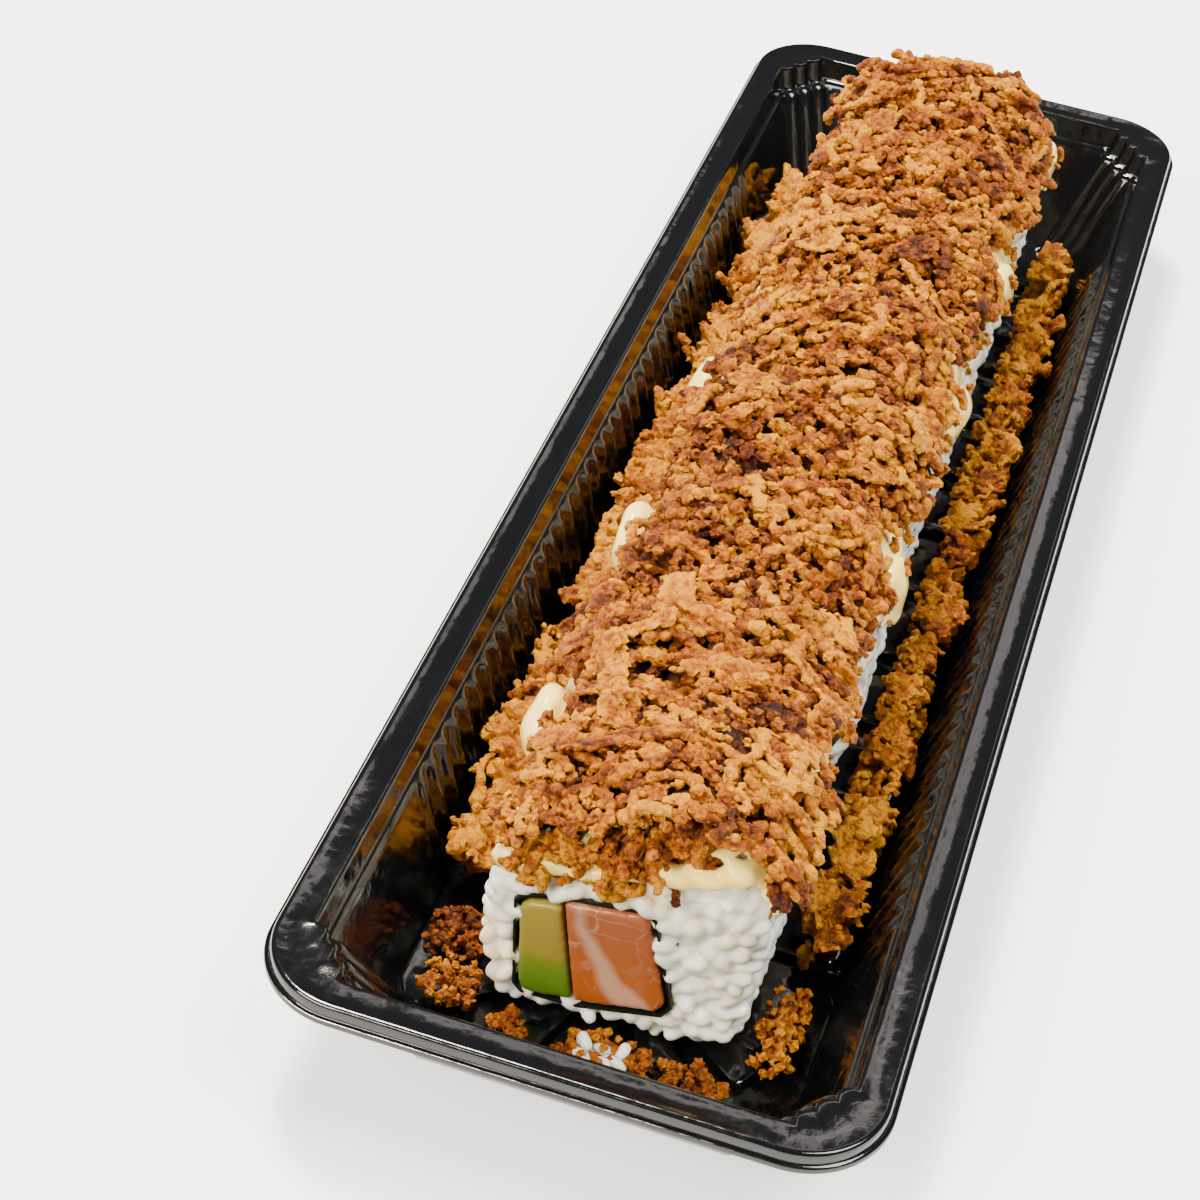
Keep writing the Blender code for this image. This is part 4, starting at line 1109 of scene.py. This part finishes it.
# The unrolled top: what lies under the pieces, and the frame's form, which says how high they pile
top_bed = bed_of("onion_top", "onion_bed", 0.7, 3, 1.3, 0.6, edged=True)
under_top = tree_of([top_bed.data, layer.data] + rice_cores)
cad_top = tree_of([copy_of(["onion_top"], "onion_form")])
roll_top = Pile((ARC[0], ROLL_Y[0]), (ARC[1], ROLL_Y[1]), lambda arc, y: radius_at(under_top, arc, y) or 0.0)
form = np.array([
    [radius_at(cad_top, ARC[0] + CELL * i, ROLL_Y[0] + CELL * j) or 0.0 for j in range(roll_top.shape[1])]
    for i in range(roll_top.shape[0])
])
for heights in (form, roll_top.ground, roll_top.height):
    heights[:, :FRONT_ROWS] = heights[:, FRONT_ROWS:FRONT_ROWS + 1]
front_rise = np.clip(1.0 - (CELL * np.arange(form.shape[1]) - 3.0) / 9.0, 0.0, 1.0) * 0.7
form += front_rise[None, :] * (form > 0.0)
rng = random.Random(7)


def cover_roll(templates, count, tries, room, tilt, share, scale, span=(0.0, 1.0), fry=0.0, cap=3.4):
    """
    Drops pieces on the roll's top. Room is how far the pile may stand over the form where a piece
    lands, share how much of the piece sinks in, span the part of the roll's length that is covered,
    fry an extra browning and cap the highest that a piece may reach over the form.
    """
    made = []
    length = ROLL_Y[1] - ROLL_Y[0]
    for _ in range(tries):
        if len(made) >= count:
            break
        arc = rng.uniform(ARC[0] + 1.0, ARC[1] - 1.0)
        y = rng.uniform(ROLL_Y[0] + 0.8 + span[0] * length, ROLL_Y[0] - 0.8 + span[1] * length)
        i, j = roll_top.cell(arc, y)
        bare = form[i, j] == 0.0 or roll_top.ground[i, j] == 0.0
        if bare or outside(math.degrees(arc / ROLL_RADIUS), y) > 0.0:
            continue
        over = roll_top.height[i, j] - form[i, j]
        if over > room - 2.3 * (1.0 - hump(y)):
            continue
        points, triangles, crest = rng.choice(templates)
        placed = roll_top.drop(turned(points * rng.uniform(*scale), rng, tilt), arc, y, share)
        a, b = roll_top.cells(placed[:, 0], placed[:, 1])
        known = form[a, b] > 0.0
        limit = cap * min(1.0, 0.72 + 0.28 * (y - FRONT_Y) / 8.0)
        if known.mean() < 0.9 or (placed[:, 2] - form[a, b])[known].max() > limit:
            continue
        bent = on_roll(placed)
        reach = bent[:, 1]
        if bent[:, 2].max() > TOP_LIMIT or reach.min() < FRONT_Y - 4.6 or reach.max() > ROLL_Y[1] + 0.6:
            continue
        roll_top.keep(placed)
        # Pieces that land below the form are painted browner, as painted shade deep in the pile, on top of
        # their own browning
        depth = max(0.0, min(1.0, -over / 3.0))
        made.append((bent, triangles, crest, browning(rng) + 0.30 * depth + fry))
    return made


strips = flakes[:2] + flakes[4:]
top_clusters = cover_roll(clusters, 450, 12000, 0.6, 0.8, 0.60, (0.8, 1.3))
top_shreds = cover_roll(shreds, 420, 9000, 1.4, 1.1, 0.5, (0.95, 1.4), cap=4.8)
top_shreds += cover_roll(
    shreds + clusters[:2], 90, 2500, 1.6, 0.9, 0.5, (0.8, 1.1), (0.0, 0.055), fry=0.04, cap=4.2,
)
top_crumbs = cover_roll(crumbs, 800, 9000, 1.4, 0.8, 0.6, (0.7, 1.5), cap=4.6)
top_flakes = cover_roll(flakes[2:4], 44, 1800, 3.4, 0.8, 0.55, (0.75, 1.1), cap=5.8)
top_flakes += cover_roll(strips, 10, 1500, 6.0, 0.5, 0.5, (0.9, 1.1), (0.0, 0.2), cap=7.0)

# Crumbs fill the places that are still bare
for i in range(1, roll_top.shape[0] - 1, 2):
    for j in range(1, roll_top.shape[1] - 1, 2):
        bare = roll_top.height[i, j] - roll_top.ground[i, j] < 0.5
        if bare and form[i, j] > 0.0 and roll_top.ground[i, j] > 0.0:
            arc = ARC[0] + CELL * i + rng.uniform(-0.4, 0.4)
            y = ROLL_Y[0] + CELL * j + rng.uniform(-0.4, 0.4)
            if outside(math.degrees(arc / ROLL_RADIUS), y) > 1.5:
                continue
            points, triangles, crest = rng.choice(crumbs)
            placed = roll_top.drop(turned(points * rng.uniform(1.0, 1.6), rng, 0.8), arc, y, 0.5)
            bent = on_roll(placed)
            if bent[:, 2].max() > TOP_LIMIT:
                continue
            roll_top.keep(placed)
            top_crumbs.append((bent, triangles, crest, browning(rng) + 0.15))

# Pieces hang over the front edge
mayonnaise_top = tree_of([layer.data])
for _ in range(105):
    x = rng.uniform(-16.0, 18.5)
    rice_top = top_at(front_top, x, FRONT_Y + 1.8)
    cream_top = top_at(mayonnaise_top, x, FRONT_Y + 2.2)
    if rice_top is None or cream_top is None:
        continue
    hang = 0.3 + 3.4 * max(0.0, noise.noise(Vector((x * 0.22, 3.0, 1.0))) + 0.2)
    lowest = max(rice_top + 1.4 - hang, cream_top - 5.5)
    z = rng.uniform(lowest, cream_top + 1.8)
    points, triangles, crest = rng.choice(shreds if rng.random() < 0.6 else clusters)
    placed = turned(points * rng.uniform(0.9, 1.25), rng, 1.4)
    placed = placed + np.array([x, FRONT_Y + 0.2 + rng.uniform(-0.5, 2.2), z])
    placed[:, 2] -= max(0.0, placed[:, 2].max() - TOP_LIMIT)
    top_shreds.append((placed, triangles, crest, browning(rng) + 0.02))

# Crumbs stick to the rice beside the topping, more of them on the right
for _ in range(260):
    side = rng.choice((1, 1, -1))
    y = rng.uniform(FRONT_Y + 1.0, ROLL_Y[1] - 2.0)
    edge = 50.0 if side > 0 else 130.0
    edge += side * outside(edge, y)
    degrees = edge - side * abs(rng.gauss(0.0, 13.0))
    arc = math.radians(degrees) * ROLL_RADIUS
    radius = radius_at(under_top, arc, y)
    if radius is None:
        continue
    points, triangles, crest = rng.choice(crumbs)
    placed = turned(points * rng.uniform(0.5, 1.15), rng, 1.0)
    stuck = on_roll(placed + np.array([arc, y, radius + 0.75]))
    top_crumbs.append((stuck, triangles, crest, browning(rng)))

halfway = 0.5 * (ROLL_Y[0] + ROLL_Y[1])
for name, parts in (
    ("onion_clusters_near", [p for p in top_clusters if p[0][:, 1].mean() < halfway]),
    ("onion_clusters_far", [p for p in top_clusters if p[0][:, 1].mean() >= halfway]),
    ("onion_shreds", top_shreds),
    ("onion_flakes", top_flakes),
    ("onion_crumbs", top_crumbs),
):
    piece = joined(name, parts, fried_onion)
    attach(piece, "root")
    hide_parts("onion_top")
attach(top_bed, "root")
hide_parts("onion_top")


# Onion beside the roll
# The same fried onion, fallen between the roll and the tray's long walls. It lies loose in the
# channels, higher against the roll, and keeps clear of the walls.
WALL_TOP = (RIM_Z - 5.4, OPEN_X - 2.7)
WALL_FOOT = (FLOOR_TOP, OPEN_X - WALL_IN - 0.6)
CHANNEL_OUTER = 32.5
CHANNEL_SKY = 40.0
CHANNEL_FLOOR = FLOOR_TOP + 1.4


def wall_at(z):
    """Distance of the flutes' crests from the middle at a height."""
    t = np.clip((z - WALL_FOOT[0]) / (WALL_TOP[0] - WALL_FOOT[0]), 0, 1)
    return WALL_FOOT[1] + (WALL_TOP[1] - WALL_FOOT[1]) * t


def fill_channel(side, node, seed, inner, highest):
    """Bed and loose pieces of one channel, from its inner edge outwards and up to a highest point."""
    rng = random.Random(seed)
    bed = bed_of(node, node + "_bed", 0.8, 3, 2.5, 0.6)
    low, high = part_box(node)
    below = tree_of([bed.data])
    ends = (low.y / MM - 4.0, high.y / MM + 3.0)
    cad_heap = tree_of([copy_of([node], node + "_form")])

    def surface(tree, x, y):
        top = top_at(tree, side * x, y, CHANNEL_SKY)
        return CHANNEL_FLOOR if top is None else top

    heap = Pile((inner, ends[0]), (CHANNEL_OUTER, ends[1]), lambda x, y: surface(below, x, y))
    made = []
    for templates, count, room, scale, tilt in (
        (clusters, 76, 1.6, (1.5, 2.3), 1.0), (flakes[:4], 22, 3.4, (0.9, 1.25), 0.6),
        (shreds, 40, 1.4, (0.9, 1.2), 0.9), (crumbs, 120, 1.2, (0.7, 1.5), 0.8),
    ):
        wanted = len(made) + count
        for _ in range(12 * count):
            if len(made) >= wanted:
                break
            x = rng.uniform(inner + 0.5, CHANNEL_OUTER - 0.5)
            y = rng.uniform(ends[0] + 2.0, ends[1] - 2.0)
            uneven = 2.2 * noise.noise(Vector((x * 0.12, y * 0.11, seed)))
            if heap.height[heap.cell(x, y)] > surface(cad_heap, x, y) + room + uneven:
                continue
            points, triangles, crest = rng.choice(templates)
            placed = heap.drop(turned(points * rng.uniform(*scale), rng, tilt), x, y, 0.62)
            if (placed[:, 0] > wall_at(placed[:, 2]) - 0.2).any() or (placed[:, 0] < inner - 0.4).any():
                continue
            if placed[:, 2].max() > highest:
                continue
            heap.keep(placed)
            flipped = placed * np.array([side, 1.0, 1.0])
            winding = triangles if side > 0 else triangles[:, ::-1]
            # Channel pieces are painted a little paler than the rest: painted light that offsets the shade of
            # the walls and the roll
            made.append((flipped, winding, crest, browning(rng) - 0.08))
    piece = joined(node + "_pieces", made, fried_onion)
    for ob in (bed, piece):
        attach(ob, "root")
        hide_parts(node)


fill_channel(1, "onion_right", 21, 22.3, 14.5)
fill_channel(-1, "onion_left", 22, 21.3, 17.5)


# Loose clusters in front of the roll
# Larger lumps of onion run together in the fryer, lying on the floor in front of the cut and at its
# two sides.
LUMP_FACES = 3400
LUMP_FRY = (0.62, 0.35, 0.25, 0.3, 0.3, 0.28)
for index, lump_fry in enumerate(LUMP_FRY):
    node = "onion_front_%d" % (index + 1)
    low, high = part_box(node)
    rng = random.Random(400 + index)
    size = (high - low) / MM
    centre = (low + high) * 0.5 / MM
    balls = []
    for _ in range(int(size.x * size.y * 0.95)):
        x = rng.uniform(-0.5, 0.5) * (size.x - 1.6)
        y = rng.uniform(-0.5, 0.5) * (size.y - 1.6)
        if (2 * x / size.x) ** 2 + (2 * y / size.y) ** 2 > 1.0:
            continue
        z = rng.uniform(0.0, 1.0) * (size.z - 2.4) * (1.0 - 0.5 * abs(2 * x / size.x)) + 1.0
        balls.append((x, y, z, rng.uniform(0.45, 0.95)))
    points, triangles, crest = knobs_mesh(node + "_lump", balls, 0.25, LUMP_FACES, 50 + index)
    points[:, 2] += low.z / MM - points[:, 2].min()
    points[:, 0:2] += np.array([centre.x, centre.y])
    lump = joined(node + "_lump", [(points, triangles, crest, lump_fry)], fried_onion)
    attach(lump, "root")
    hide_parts(node)


# Rice on the floor
# A few grains that came off the front slice. They lie on the loose piece of onion in the middle.
LOOSE_GRAINS = 11
LOOSE_SCALE = 0.68
rng = random.Random(77)
bm = bmesh.new()
low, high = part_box("onion_front_4")
for _ in range(LOOSE_GRAINS):
    single = grain_mesh()
    spot = Vector((
        0.5 * (low.x + high.x) + rng.uniform(-3.8, 3.4) * MM, low.y + rng.uniform(1.6, 4.6) * MM,
        low.z + rng.uniform(3.0, 4.0) * MM,
    ))
    spin = Euler((rng.uniform(-0.35, 0.35), rng.uniform(-0.35, 0.35), rng.uniform(0.0, 6.28)))
    single.transform(Matrix.Translation(spot) @ spin.to_matrix().to_4x4() @ Matrix.Scale(LOOSE_SCALE, 4))
    bm.from_mesh(single)
    bpy.data.meshes.remove(single)
loose_mesh = bpy.data.meshes.new("loose_grains")
bm.to_mesh(loose_mesh)
bm.free()
loose_mesh.shade_smooth()
loose_mesh.materials.append(cooked_rice)
store(loose_mesh, "tone", np.full(len(loose_mesh.vertices), 0.7))
loose = new_object("loose_grains", loose_mesh)
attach(loose, "root")
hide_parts("onion_front_4")


# Studio
# Pale floor, a small bright light from the upper left behind the tray, broad weaker ones from the
# front and the right to fill, and two strips that draw highlights on the rim.
FLOOR_HALF = 3
AIM = (0, 0, 0.02)
corners = [(-FLOOR_HALF, -FLOOR_HALF, 0), (FLOOR_HALF, -FLOOR_HALF, 0), (FLOOR_HALF, FLOOR_HALF, 0),
           (-FLOOR_HALF, FLOOR_HALF, 0)]
floor = new_object("studio_floor", mesh_of("studio_floor", corners, [(0, 1, 2, 3)]))
paper, _, shader, _ = finish_of(
    "white_paper_floor", Base_Color=colour("#EEEEED"), Roughness=0.9, Emission_Strength=1.0,
)
shader.inputs["Emission Color"].default_value = (1.0, 1.0, 1.0, 1.0)
floor.data.materials.append(paper)
floor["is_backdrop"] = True

world = bpy.data.worlds.new("studio")
world.use_nodes = True
world.node_tree.nodes["Background"].inputs["Color"].default_value = colour("#F1F3F6")
world.node_tree.nodes["Background"].inputs["Strength"].default_value = 0.14
bpy.context.scene.world = world


def softbox(name, place, size, watts, tint):
    """Rectangular light aimed at the tray."""
    lamp = bpy.data.lights.new(name, "AREA")
    lamp.shape = "RECTANGLE"
    lamp.size, lamp.size_y = size
    lamp.energy = watts
    lamp.color = colour(tint)[:3]
    made = new_object(name, lamp)
    made.location = place
    made.rotation_euler = (Vector(AIM) - Vector(place)).to_track_quat("-Z", "Y").to_euler()


softbox("key", (-0.35, 0.4, 1.3), (0.34, 0.34), 60.0, "#FFF6E8")
softbox("front", (-0.6, -0.9, 0.9), (0.8, 0.6), 42.0, "#FFF3E2")
softbox("side", (0.6, -0.1, 1.2), (0.6, 0.6), 28.0, "#FFFEFC")
softbox("rim_near", (-0.14, 0.8, 1.19), (0.35, 0.12), 0.45, "#FFF4F0")
softbox("rim_right", (0.02, 0.8, 0.78), (0.1, 0.45), 0.4, "#FFF4F0")

# Camera fitted to the tray's rim in the photograph; the rows are its right, up and backward ways
camera_data = bpy.data.cameras.new("camera")
camera_data.lens = 80.66
camera_data.sensor_width = 36.0
camera = new_object("camera", camera_data)
right = (0.94926, 0.29760, 0.10165)
up = (-0.26885, 0.60027, 0.75325)
back = (0.16315, -0.74237, 0.64982)
turn = Matrix((right, up, back)).transposed().to_4x4()
camera.matrix_world = Matrix.Translation((0.04624, -0.36048, 0.29841)) @ turn
bpy.context.scene.camera = camera

low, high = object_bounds()
